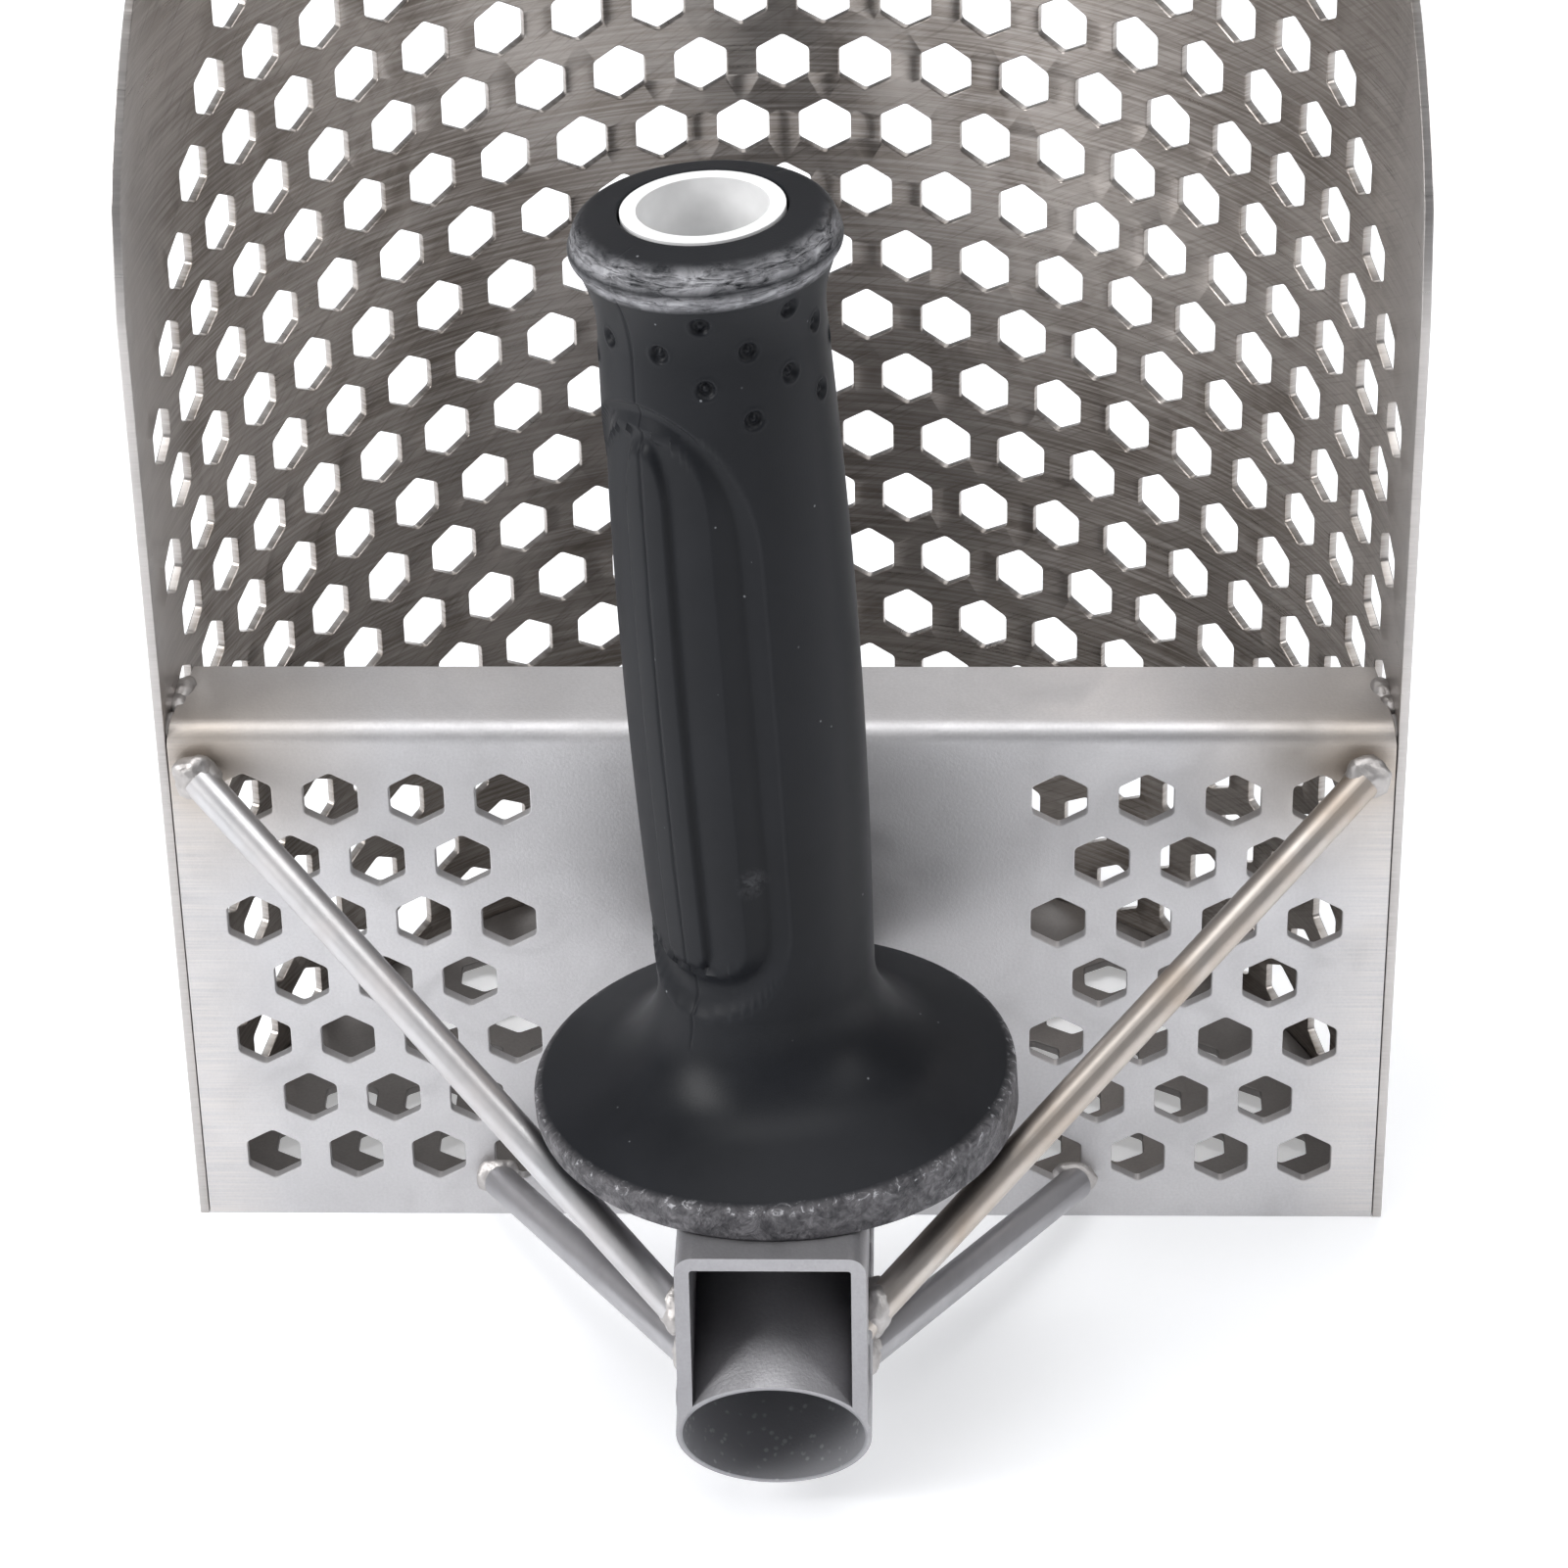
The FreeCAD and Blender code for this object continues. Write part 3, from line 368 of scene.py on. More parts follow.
def make_plate():
    """The flat plate with its flange and a field of holes on each side."""
    bend_end = BEND_START + BEND_LENGTH
    bend_step, flange_step = 0.4, 1.5
    right = spaced((PLATE_HALF, 0), (PLATE_HALF, BEND_START), OUTLINE_STEP)
    right += spaced((PLATE_HALF, BEND_START), (FLANGE_END_NEAR, bend_end), bend_step)
    right += spaced((FLANGE_END_NEAR, bend_end), (FLANGE_END_FAR, PLATE_LENGTH), flange_step)
    right.append((FLANGE_END_FAR, PLATE_LENGTH))
    outline = spaced((-PLATE_HALF, 0), (PLATE_HALF, 0), OUTLINE_STEP) + right
    flange_edge = spaced((-FLANGE_END_FAR, 0), (FLANGE_END_FAR, 0), OUTLINE_STEP)
    outline += [(-u, PLATE_LENGTH) for u, _ in flange_edge[1:]]
    outline += [(-u, v) for u, v in reversed(right)][:-1]

    centres = []
    row = 0
    height = PLATE_FIRST_ROW
    while height <= PLATE_TOP - PLATE_TOP_MARGIN:
        spot = PLATE_HALF - PLATE_SIDE_MARGIN - (row % 2) * HEX_PITCH / 2
        while spot >= PLATE_PLAIN_HALF:
            centres += [(-spot, height), (spot, height)]
            spot -= HEX_PITCH
        row += 1
        height += ROW_STEP
    fill = [p for p in fill_points(outline, centres, 5.0) if p[1] < BEND_START - 1 or p[1] > bend_end + 1]
    # close rows of points keep the bend round
    bend_rows = 6
    for row in range(bend_rows + 1):
        v = BEND_START + BEND_LENGTH * row / bend_rows
        fill += [(u, v) for u, _ in spaced((-PLATE_HALF + 1.5, 0), (PLATE_HALF - 1.5, 0), OUTLINE_STEP)]
    return perforated_sheet("front_plate", outline, centres, fill, PLATE_WALL, plate_place,
                            ["flat_plate"])


# ------------------------------------------------------------------ rear plate
def rear_place(u, v, w):
    """Lays the flat sheet down as the basket's rear: u across, v into the basket."""
    return (u, v, REAR_MIDDLE + w)


def make_rear():
    """The perforated half-round plate that closes the basket's rear."""
    radius = rear_high.y
    front = rear_low.y
    half = math.sqrt(radius ** 2 - front ** 2)
    start = math.asin(front / radius)
    steps = 90
    turns = [start + (math.pi - 2 * start) * i / steps for i in range(steps)]
    outline = spaced((-half, front), (half, front), 4.0)
    outline += [(radius * math.cos(turn), radius * math.sin(turn)) for turn in turns]

    centres = []
    row = 0
    reach = math.ceil(radius / HEX_PITCH)
    while front + REAR_MARGIN + row * ROW_STEP < radius:
        depth = front + REAR_MARGIN + row * ROW_STEP
        offset = 0.5 if row % 2 else 0.0
        for step in range(-reach, reach + 1):
            across = (step + offset) * HEX_PITCH
            if math.hypot(across, depth) <= radius - REAR_MARGIN:
                centres.append((across, depth))
        row += 1
    fill = fill_points(outline, centres, 6.0)
    return perforated_sheet("back_plate", outline, centres, fill, REAR_WALL, rear_place,
                            ["rear_plate"])


# ------------------------------------------------------------------ rubber grip
# finger panel: its middle line, the half angles of its three outlines, and their ends
PANEL_MIDDLE = math.radians(-41.0)
PANEL_HALVES = (60.0, 36.0, 14.0)
PANEL_TOP = 103.5
PANEL_TOP_ROUND = 19.5
PANEL_BOTTOM = 19.8
PANEL_BOTTOM_ROUND = 13.2
INNER_TOP = 99.5
INNER_BOTTOM = 26.5
# dimples: their size, the angles between their columns and the heights of their rows
DIMPLE_RADIUS = 1.22
DIMPLE_DEPTH = 0.62
DIMPLE_FIRST = 17.0
DIMPLE_STEP = 22.4
DIMPLE_COLUMNS = 8
DIMPLE_ROWS = ((110.5, 101.9), (114.6, 106.3))


def rounded_path(corners, step):
    """Points along a path of (radius, height, corner radius) with its corners rounded."""
    path = []
    for i, (r, h, round_radius) in enumerate(corners):
        here = np.array((r, h))
        if round_radius == 0:
            path.append([here])
            continue
        before = np.array(corners[i - 1][:2]) - here
        after = np.array(corners[i + 1][:2]) - here
        before /= np.linalg.norm(before)
        after /= np.linalg.norm(after)
        turn = math.pi - math.acos(np.clip(before @ after, -1, 1))
        tangent = round_radius * math.tan(turn / 2)
        middle = here + (before + after) / np.linalg.norm(before + after) * round_radius / math.cos(turn / 2)
        start, end = here + before * tangent, here + after * tangent
        count = max(4, math.ceil(turn * round_radius / step))
        arc = []
        for k in range(count + 1):
            share = k / count
            a, b = start - middle, end - middle
            blend = (a * math.sin((1 - share) * turn) + b * math.sin(share * turn)) / math.sin(turn)
            arc.append(middle + blend)
        path.append(arc)
    points = []
    for part in path:
        if points:
            gap = part[0] - points[-1]
            count = max(1, math.ceil(np.linalg.norm(gap) / step))
            points += [points[-1] + gap * k / count for k in range(1, count)]
        points += list(part)
    return points


def grip_body_radius(height):
    """Radius of the grip between its root and its top ring."""
    if height <= NECK_HEIGHT:
        share = (height - ROOT_HEIGHT) / (NECK_HEIGHT - ROOT_HEIGHT)
        base = GRIP_ROOT + (GRIP_NECK - GRIP_ROOT) * share
        return base + (GRIP_PALM - (GRIP_ROOT + GRIP_NECK) / 2) * math.sin(math.pi * min(1, max(0, share)))
    share = (height - NECK_HEIGHT) / (RING_FOOT - NECK_HEIGHT)
    return GRIP_NECK + 1.9 * share ** 2.2


def smooth(low, high, x):
    """0 below low, 1 above high, and a soft step between them."""
    share = np.clip((x - low) / (high - low), 0, 1)
    return share * share * (3 - 2 * share)


def angle_from(middle, angle):
    """The signed angle from a middle line, at most half a turn either way."""
    return (angle - middle + math.pi) % (2 * math.pi) - math.pi


def arch(away, height, half, top, top_round, bottom, bottom_round, power=2.0):
    """How far inside an arch a point is: 1 on the arch's middle line, 0 on its outline, below 0 outside."""
    up = np.clip((height - (top - top_round)) / top_round, 0, None)
    down = np.clip(((bottom + bottom_round) - height) / bottom_round, 0, None)
    beyond = np.maximum(up, down)
    return 1 - (np.abs(away / half) ** power + beyond ** power) ** (1 / power)


def panel_depth(angle, height):
    """Depth of the finger panel's facets, symmetrical about the mould's parting line."""
    away = np.degrees(np.abs(angle_from(PANEL_MIDDLE, angle)))
    outer = arch(away, height, PANEL_HALVES[0], PANEL_TOP, PANEL_TOP_ROUND, PANEL_BOTTOM, PANEL_BOTTOM_ROUND)
    middle = arch(away, height, PANEL_HALVES[1], INNER_TOP, 12.0, INNER_BOTTOM, 5.0, 2.6)
    inner = arch(away, height, PANEL_HALVES[2], INNER_TOP - 1.0, 10.0, INNER_BOTTOM, 3.0, 2.6)
    # from the outline the surface falls to a valley, climbs to a ridge and falls to the strip
    down = smooth(0.0, 0.02, outer) * 0.26 + 1.30 * np.clip(outer / 0.17, 0, 1)
    climb = 0.14 + 1.42 * np.clip(-middle / 0.36, 0, 1)
    depth = np.where(middle > 0, 0.14 + 0.80 * np.clip(1 + inner / 1.57, 0, 1), np.minimum(down, climb))
    depth = depth * (1 - smooth(-0.02, 0.16, inner)) + 0.10 * smooth(-0.02, 0.16, inner)
    return np.where(outer > 0, depth, 0.0)


def parting_line(angle, height):
    """A fine groove down both sides of the grip where the mould's halves met."""
    away = np.degrees(np.abs(angle_from(PANEL_MIDDLE, angle)))
    wander = 0.5 * np.sin(height * 0.35) + 0.3 * np.sin(height * 0.9 + 1.3)
    line = np.exp(-((away - wander * 0.4) / 0.75) ** 2) + np.exp(-((away - 180.0) / 0.75) ** 2)
    return 0.13 * line * smooth(12.0, 18.0, height)


def dimple_depth(angle, height):
    """Round dimples with a small dome in each, in staggered columns."""
    depth = np.zeros_like(angle)
    for side in (-1, 1):
        for column in range(DIMPLE_COLUMNS):
            middle = PANEL_MIDDLE + side * math.radians(DIMPLE_FIRST + DIMPLE_STEP * column)
            for row, level in enumerate(DIMPLE_ROWS[column % 2]):
                # the panel's top takes the place of the lowest dimples
                if column == 0 and row == 1:
                    continue
                across = angle_from(middle, angle) * GRIP_NECK
                away = np.hypot(across, height - level) / DIMPLE_RADIUS
                bowl = DIMPLE_DEPTH * (1 - smooth(0.62, 1.0, away))
                dome = DIMPLE_DEPTH * 0.80 * (1 - smooth(0.0, 0.60, away))
                lip = -0.07 * np.exp(-((away - 1.12) / 0.12) ** 2)
                depth = depth + bowl - dome + lip
    return depth


def make_grip():
    """The rubber grip: its guard, its body with the panel and dimples, and its top ring."""
    body_step, fine_step = 0.8, 0.22
    root_corner, root_round, body_start = 11.2, 12.7, 20.2
    guard = rounded_path([
        (CORE_RADIUS + 0.1, 0.0, 0), (GUARD_RADIUS, 0.0, 0.5), (GUARD_RADIUS, GUARD_RIM, 1.0),
        (GRIP_ROOT, root_corner, root_round), (GRIP_ROOT, body_start, 0),
    ], body_step)
    body = []
    height = body_start + body_step
    # the dimples need a finer mesh
    fine_low, fine_high = 100.0, 116.4
    while height < RING_FOOT:
        body.append(np.array((grip_body_radius(height), height)))
        height += fine_step if fine_low < height < fine_high else body_step
    ring = rounded_path([
        (grip_body_radius(RING_FOOT), RING_FOOT, 0), (GRIP_RING + 0.35, GRIP_TOP - 4.0, 1.6),
        (GRIP_RING - 0.9, GRIP_TOP - 0.6, 2.0), (CORE_RADIUS + 0.34, GRIP_TOP + 0.3, 0.28),
        (CORE_RADIUS + 0.3, GRIP_TOP - 4.0, 0),
    ], 0.4)
    path = np.array(guard + body + ring)

    columns = 440
    angles = np.linspace(0, 2 * math.pi, columns, endpoint=False)
    # more points where the parting line runs
    extra = [PANEL_MIDDLE + math.radians(a) for a in (-0.6, -0.25, 0.0, 0.25, 0.6, 179.5, 180.0, 180.5)]
    angles = np.unique(np.round(np.concatenate((angles, np.mod(extra, 2 * math.pi))), 6))
    segments = len(angles)
    angle, radius = np.meshgrid(angles, path[:, 0])
    height = np.repeat(path[:, 1][:, None], segments, 1)
    on_body = (height > 15.0) & (radius > CORE_RADIUS + 2.5)
    cut = panel_depth(angle, height) + dimple_depth(angle, height) + parting_line(angle, height)
    radius = radius - np.where(on_body, cut, 0.0)
    # the guard's underside lies flat on the saddle although the grip leans
    fall = -(GRIP_RIGHT.dot(WEB_NORMAL) * radius * np.sin(angle)
             - GRIP_BACK.dot(WEB_NORMAL) * radius * np.cos(angle)) / GRIP_AXIS.dot(WEB_NORMAL)
    height = height + fall * (1 - smooth(0.0, GUARD_RIM, height))

    right, back, axis = (np.array(v) for v in (GRIP_RIGHT, GRIP_BACK, GRIP_AXIS))
    spots = (np.array(GRIP_FOOT) + (radius * np.sin(angle))[..., None] * right
             - (radius * np.cos(angle))[..., None] * back + height[..., None] * axis)
    rings = len(path)
    faces = grid_faces(rings, segments)
    # the bore is closed along the core tube
    last = (rings - 1) * segments
    for k in range(segments):
        after = (k + 1) % segments
        faces.append((last + k, last + after, after, k))
    return new_piece("grip", spots.reshape(-1, 3), faces, ["rubber_grip"], sharp=60.0)


# ------------------------------------------------------------------ weld beads
# right-hand ends of the upper and lower struts, and the reach of the beads on them
PLATE_ENDS = ((73.6, -2.0, 71.8), (38.2, -1.2, 7.4))
SADDLE_ENDS = ((12.4, -49.4, 25.4), (11.0, -47.4, 16.2))
PLATE_BEADS = ((3.4, 2.9, 2.1), (3.0, 2.5, 1.6))
SADDLE_BEAD = (3.5, 2.9, 1.9)
# beads at the flange's right-hand end: middle, reach and seed
CORNER_BEADS = (((76.4, 9.8, 77.5), (2.6, 1.6, 1.2), 41), ((77.0, 6.8, 77.3), (1.9, 1.3, 1.0), 42))
# seams along the socket tube: how far out and up they lie, and the row of beads in each
SEAM_OUT = 11.45
SEAM_UP = 3.5
SEAM_BEADS = 7
SEAM_STEP = 7.8
SEAM_BEAD = (5.2, 0.85, 0.55)


def lump(middle, along, across, out, reach, seed):
    """Points and faces of a rough weld bead: reach along, across and out of the wall that it sits on."""
    axes = [np.array(v, dtype=float) for v in (along, across, out)]
    rows, columns = 22, 36
    verts = []
    for i in range(rows + 1):
        tilt = math.pi * i / rows
        for k in range(columns):
            turn = 2 * math.pi * k / columns
            unit = (math.sin(tilt) * math.cos(turn), math.sin(tilt) * math.sin(turn), math.cos(tilt))
            spot = sum(a * u * r for a, u, r in zip(axes, unit, reach))
            # broad lumps with a finer ripple on them
            rough = noise.noise(Vector(spot) * 0.42 + Vector((seed * 7.3, seed * 3.1, 0)))
            fine = noise.noise(Vector(spot) * 1.3 + Vector((0, seed * 5.7, seed)))
            verts.append(np.array(middle) + spot * (1 + 0.24 * rough + 0.07 * fine))
    return verts, grid_faces(rows + 1, columns)


def weld_piece(name, lumps, replaced):
    """One piece from several lumps, whose points at both poles are merged."""
    verts, faces = [], []
    for lump_verts, lump_faces in lumps:
        faces += [tuple(i + len(verts) for i in f) for f in lump_faces]
        verts += lump_verts
    piece = new_piece(name, verts, faces, replaced, sharp=80.0)
    work = bmesh.new()
    work.from_mesh(piece.data)
    bmesh.ops.remove_doubles(work, verts=work.verts, dist=1e-7)
    work.to_mesh(piece.data)
    work.free()
    return piece


def make_strut_welds(which, name, replaced):
    """Beads at both ends of the upper (0) or lower (1) struts."""
    lumps = []
    for side in (-1, 1):
        plate_end = np.array(PLATE_ENDS[which]) * (side, 1, 1)
        saddle_end = np.array(SADDLE_ENDS[which]) * (side, 1, 1)
        run = saddle_end - plate_end
        run /= np.linalg.norm(run)
        flat = run * (1, 0, 1)
        flat /= np.linalg.norm(flat)
        seed = 3 + which * 4 + side
        lumps.append(lump(plate_end - flat * 0.2, flat, np.cross(flat, (0, 1, 0)), (0, -1, 0),
                          PLATE_BEADS[which], seed))
        flat = run * (0, 1, 1)
        flat /= np.linalg.norm(flat)
        lumps.append(lump(saddle_end + (side * 0.1, 0, 0), flat, np.cross(flat, (1, 0, 0)), (side, 0, 0),
                          SADDLE_BEAD, seed + 20))
    return weld_piece(name, lumps, replaced)


def make_corner_welds():
    """Beads between the flange's ends and the basket."""
    lumps = []
    for side in (-1, 1):
        for middle, reach, seed in CORNER_BEADS:
            lumps.append(lump(np.array(middle) * (side, 1, 1), (0, 1, 0), (1, 0, 0), (0, 0, 1),
                              reach, seed + side))
    return weld_piece("corner_welds", lumps, ["flange_corner_welds"])


def make_seam_welds():
    """A low bead along each seam between the saddle's legs and the socket tube."""
    inward = np.array(SOCKET_AXIS)
    upward = np.array((0.0, -inward[2], inward[1]))
    lumps = []
    for side in (-1, 1):
        start = np.array(SOCKET_MOUTH) + (side * SEAM_OUT, 0, 0) + upward * SEAM_UP + inward * 2.0
        for step in range(SEAM_BEADS):
            middle = start + inward * (4.2 + SEAM_STEP * step)
            lumps.append(lump(middle, inward, upward, (side, 0, 0), SEAM_BEAD, 60 + step + side))
    return weld_piece("seam_welds", lumps, ["saddle_seam_welds"])


basket = make_basket()
plate = make_plate()
rear = make_rear()
grip = make_grip()
welds = [make_strut_welds(0, "upper_welds", ["upper_strut_welds"]),
         make_strut_welds(1, "lower_welds", ["lower_strut_welds"]), make_corner_welds()]
seams = make_seam_welds()


# ------------------------------------------------------------------ materials
class Shader:
    """A material's node tree, with short calls for the nodes that it needs."""

    def __init__(self, name):
        self.material = bpy.data.materials.new(name)
        self.material.use_nodes = True
        self.tree = self.material.node_tree
        self.surface = self.tree.nodes["Principled BSDF"]
        self.place = self.node("ShaderNodeTexCoord").outputs["Object"]

    def node(self, kind, inputs=None, **settings):
        """A new node with these settings, and these values or links at its inputs."""
        made = self.tree.nodes.new(kind)
        for key, value in settings.items():
            setattr(made, key, value)
        for key, value in (inputs or {}).items():
            self.put(made.inputs[key], value)
        return made

    def put(self, socket, value):
        """Gives an input a value, or links another node's output to it."""
        if isinstance(value, bpy.types.NodeSocket):
            self.tree.links.new(value, socket)
        else:
            socket.default_value = value

    def set(self, **values):
        """Sets inputs of the surface, with underscores for the spaces in their names."""
        for key, value in values.items():
            self.put(self.surface.inputs[key.replace("_", " ")], value)

    def math(self, operation, a, b=0.0, clamp=False):
        made = self.node("ShaderNodeMath", {0: a, 1: b}, operation=operation, use_clamp=clamp)
        return made.outputs[0]

    def stretch(self, scale, place=None):
        """Coordinates scaled by a different factor along each axis."""
        made = self.node("ShaderNodeVectorMath", {0: place or self.place, 1: scale}, operation="MULTIPLY")
        return made.outputs[0]

    def noise(self, scale, detail=4.0, roughness=0.5, place=None, distortion=0.0):
        made = self.node("ShaderNodeTexNoise", {
            "Vector": place or self.place, "Scale": scale, "Detail": detail, "Roughness": roughness,
            "Distortion": distortion,
        })
        return made.outputs["Fac"]

    def ramp(self, factor, low, high, to_low=0.0, to_high=1.0):
        """Maps low..high of the factor to to_low..to_high, and holds it there outside."""
        made = self.node("ShaderNodeMapRange", {
            "Value": factor, "From Min": low, "From Max": high, "To Min": to_low, "To Max": to_high,
        }, clamp=True)
        return made.outputs["Result"]

    def mix(self, factor, a, b):
        made = self.node("ShaderNodeMix", data_type="RGBA")
        self.put(made.inputs["Factor"], factor)
        self.put(made.inputs["A"], a)
        self.put(made.inputs["B"], b)
        return made.outputs["Result"]

    def bump(self, height, distance, strength=1.0, after=None):
        made = self.node("ShaderNodeBump", {"Height": height, "Distance": distance, "Strength": strength})
        if after is not None:
            self.put(made.inputs["Normal"], after)
        return made.outputs["Normal"]

    def near(self, spot, reach):
        """1 at a spot in millimetres, falling to 0 at the reach."""
        away = self.node("ShaderNodeVectorMath", {0: self.place, 1: Vector(spot) * MM}, operation="DISTANCE")
        return self.ramp(away.outputs["Value"], reach * MM, 0.0)

    def parts(self):
        """The object coordinates, one by one."""
        return self.node("ShaderNodeSeparateXYZ", {0: self.place}).outputs


def rgb(r, g, b):
    """An opaque colour."""
    return (r, g, b, 1.0)


def around_coordinates(s):
    """Coordinates along the basket's curve, through it and up it, in metres."""
    x, y, z = s.parts()
    turn = s.math("ARCTAN2", x, y)
    along = s.math("MULTIPLY", turn, BASKET_RADIUS * MM)
    return s.node("ShaderNodeCombineXYZ", {0: along, 1: 0.0, 2: z}).outputs[0]


def basket_material():
    """Brushed steel, darkened and mottled inside by painted shade, with streaks that follow the sheet's
    curve.
    """
    s = Shader("brushed_basket_steel")
    wrapped = around_coordinates(s)
    streaks = s.noise(1.0, 3.0, 0.6, s.stretch((45.0, 1.0, 2200.0), wrapped))
    fine = s.noise(1.0, 2.0, 0.5, s.stretch((160.0, 1.0, 6000.0), wrapped))
    slanted = s.node("ShaderNodeVectorRotate", {"Vector": wrapped, "Angle": 0.55}, rotation_type="Y_AXIS")
    cross = s.noise(1.0, 3.0, 0.6, s.stretch((120.0, 1.0, 2600.0), slanted.outputs[0]))
    patches = s.noise(52.0, 3.0, 0.6, wrapped, 1.0)
    waves = s.noise(24.0, 2.0, 0.5, wrapped, 0.5)
    shade_mottle = s.noise(30.0, 4.0, 0.65, wrapped, 1.4)
    # painted shade: the colour darkens and pales with the same waves that bump the sheet, and dark mottled
    # patches stand for shade and dark reflections on the wavy sheet
    colour = s.mix(s.ramp(waves, 0.35, 0.65), rgb(0.20, 0.172, 0.150), rgb(0.43, 0.392, 0.362))
    colour = s.mix(s.ramp(patches, 0.42, 0.62, 0.0, 0.65), colour, rgb(0.30, 0.272, 0.250))
    # painted shade: the darkest brown mottles
    colour = s.mix(s.ramp(shade_mottle, 0.50, 0.66, 0.0, 0.7), colour, rgb(0.145, 0.12, 0.10))
    colour = s.mix(s.ramp(streaks, 0.42, 0.64, 0.0, 0.6), colour, rgb(0.56, 0.525, 0.50))
    colour = s.mix(s.ramp(cross, 0.52, 0.70, 0.0, 0.5), colour, rgb(0.16, 0.14, 0.12))
    # the outside and the plain strips along the edges are paler, with less of the painted shade
    x, y, _ = s.parts()
    radius = s.math("POWER", s.math("ADD", s.math("MULTIPLY", x, x), s.math("MULTIPLY", y, y)), 0.5)
    outside = s.ramp(radius, 0.0780, 0.0788)
    colour = s.mix(s.math("MULTIPLY", outside, 0.5), colour, rgb(0.54, 0.525, 0.515))
    rim = s.ramp(s.math("ADD", y, s.math("MULTIPLY", patches, 0.010)), 0.026, 0.010)
    colour = s.mix(s.math("MULTIPLY", rim, 0.62), colour, rgb(0.56, 0.54, 0.53))
    s.set(Base_Color=colour, Metallic=1.0, Anisotropic=0.7, Anisotropic_Rotation=0.25,
          Roughness=s.ramp(s.math("ADD", streaks, s.math("MULTIPLY", shade_mottle, 0.6)), 0.4, 1.1, 0.22, 0.40))
    tangent = s.node("ShaderNodeTangent", direction_type="RADIAL", axis="Z")
    s.set(Tangent=tangent.outputs[0])
    lines = s.math("ADD", s.math("ADD", streaks, cross), s.math("MULTIPLY", fine, 0.6))
    s.set(Normal=s.bump(waves, 0.0016, 0.09, s.bump(lines, 0.00003, 0.35)))
    return s.material


def blasted_steel(name, base, bright, rough_low, rough_high, brushed_edges=False, tints=(), bore=None):
    """Matt steel. Tints are (spot, reach, colour, strength), and bore is a tube's (mouth, direction)."""
    s = Shader(name)
    grain = s.noise(2600.0, 2.0, 0.6)
    cloud = s.noise(30.0, 4.0, 0.55, distortion=0.4)
    smudge = s.noise(85.0, 3.0, 0.6, distortion=0.8)
    colour = s.mix(s.ramp(cloud, 0.3, 0.7), rgb(*base), rgb(*bright))
    colour = s.mix(s.ramp(grain, 0.3, 0.75, 0.0, 0.28), colour, rgb(*(0.72 * c for c in base)))
    colour = s.mix(s.ramp(smudge, 0.55, 0.75, 0.0, 0.25), colour, rgb(*(0.82 * c for c in base)))
    rough = s.ramp(smudge, 0.3, 0.7, rough_low, rough_high)
    if brushed_edges:
        x = s.parts()["X"]
        lines = s.noise(1.0, 2.0, 0.6, s.stretch((70.0, 70.0, 3000.0)))
        side = s.ramp(s.math("ADD", s.math("ABSOLUTE", x), s.math("MULTIPLY", cloud, 0.014)), 0.074, 0.082)
        colour = s.mix(s.math("MULTIPLY", side, s.ramp(lines, 0.35, 0.65, 0.1, 0.8)), colour,
                       rgb(0.72, 0.69, 0.67))
    inside_rough = None
    if bore:
        # the bore is dull and speckled
        mouth, direction = (Vector(v) for v in bore)
        off = s.node("ShaderNodeVectorMath", {0: s.place, 1: mouth * MM}, operation="SUBTRACT").outputs[0]
        cross = s.node("ShaderNodeVectorMath", {0: off, 1: direction}, operation="CROSS_PRODUCT").outputs[0]
        away = s.node("ShaderNodeVectorMath", {0: cross}, operation="LENGTH").outputs["Value"]
        inside_rough = s.ramp(away, 0.01155, 0.01135)
        cells = s.node("ShaderNodeTexVoronoi", {"Vector": s.place, "Scale": 900.0}).outputs["Distance"]
        speck = s.math("MULTIPLY", s.ramp(cells, 0.34, 0.20), s.ramp(s.noise(500.0, 2.0), 0.48, 0.58))
        dull = s.mix(s.math("MULTIPLY", speck, 0.35), rgb(0.28, 0.28, 0.295), rgb(0.75, 0.75, 0.77))
        colour = s.mix(inside_rough, colour, dull)
    for spot, reach, tint, strength in tints:
        close = s.near(spot, reach)
        mask = s.math("MULTIPLY", close, s.ramp(cloud, 0.2, 0.7, 0.55 * strength, strength), True)
        colour = s.mix(mask, colour, rgb(*tint))
    s.set(Base_Color=colour, Metallic=1.0, Roughness=rough)
    if inside_rough is not None:
        s.set(Metallic=s.ramp(inside_rough, 0.0, 1.0, 1.0, 0.25),
              Roughness=s.math("ADD", rough, s.math("MULTIPLY", inside_rough, 0.2)))
    s.set(Normal=s.bump(smudge, 0.0005, 0.10, s.bump(grain, 0.00006, 0.5)))
    return s.material


def rod_steel(name, colour, warm, rough):
    """Drawn steel, partly tinted by the heat of welding."""
    s = Shader(name)
    lines = s.noise(1.0, 3.0, 0.6, s.stretch((300.0, 60.0, 300.0)))
    cloud = s.noise(70.0, 3.0, 0.6, distortion=0.6)
    shade = s.mix(s.ramp(cloud, 0.35, 0.65), rgb(*colour), rgb(*warm))
    shade = s.mix(s.ramp(lines, 0.4, 0.7, 0.0, 0.3), shade, rgb(*(0.7 * c for c in colour)))
    s.set(Base_Color=shade, Metallic=1.0, Roughness=s.ramp(cloud, 0.3, 0.7, rough, rough + 0.12))
    s.set(Normal=s.bump(s.noise(900.0, 2.0, 0.5), 0.00004, 0.3))
    return s.material


def weld_steel():
    """Rough metal of the weld beads."""
    s = Shader("weld_metal_look")
    lumps = s.noise(420.0, 3.0, 0.6, distortion=0.5)
    grain = s.noise(2400.0, 2.0, 0.6)
    colour = s.mix(s.ramp(lumps, 0.35, 0.65), rgb(0.42, 0.40, 0.39), rgb(0.56, 0.54, 0.53))
    s.set(Base_Color=colour, Metallic=1.0, Roughness=s.ramp(lumps, 0.3, 0.7, 0.44, 0.60))
    s.set(Normal=s.bump(grain, 0.00006, 0.4, s.bump(lumps, 0.0006, 0.5)))
    return s.material


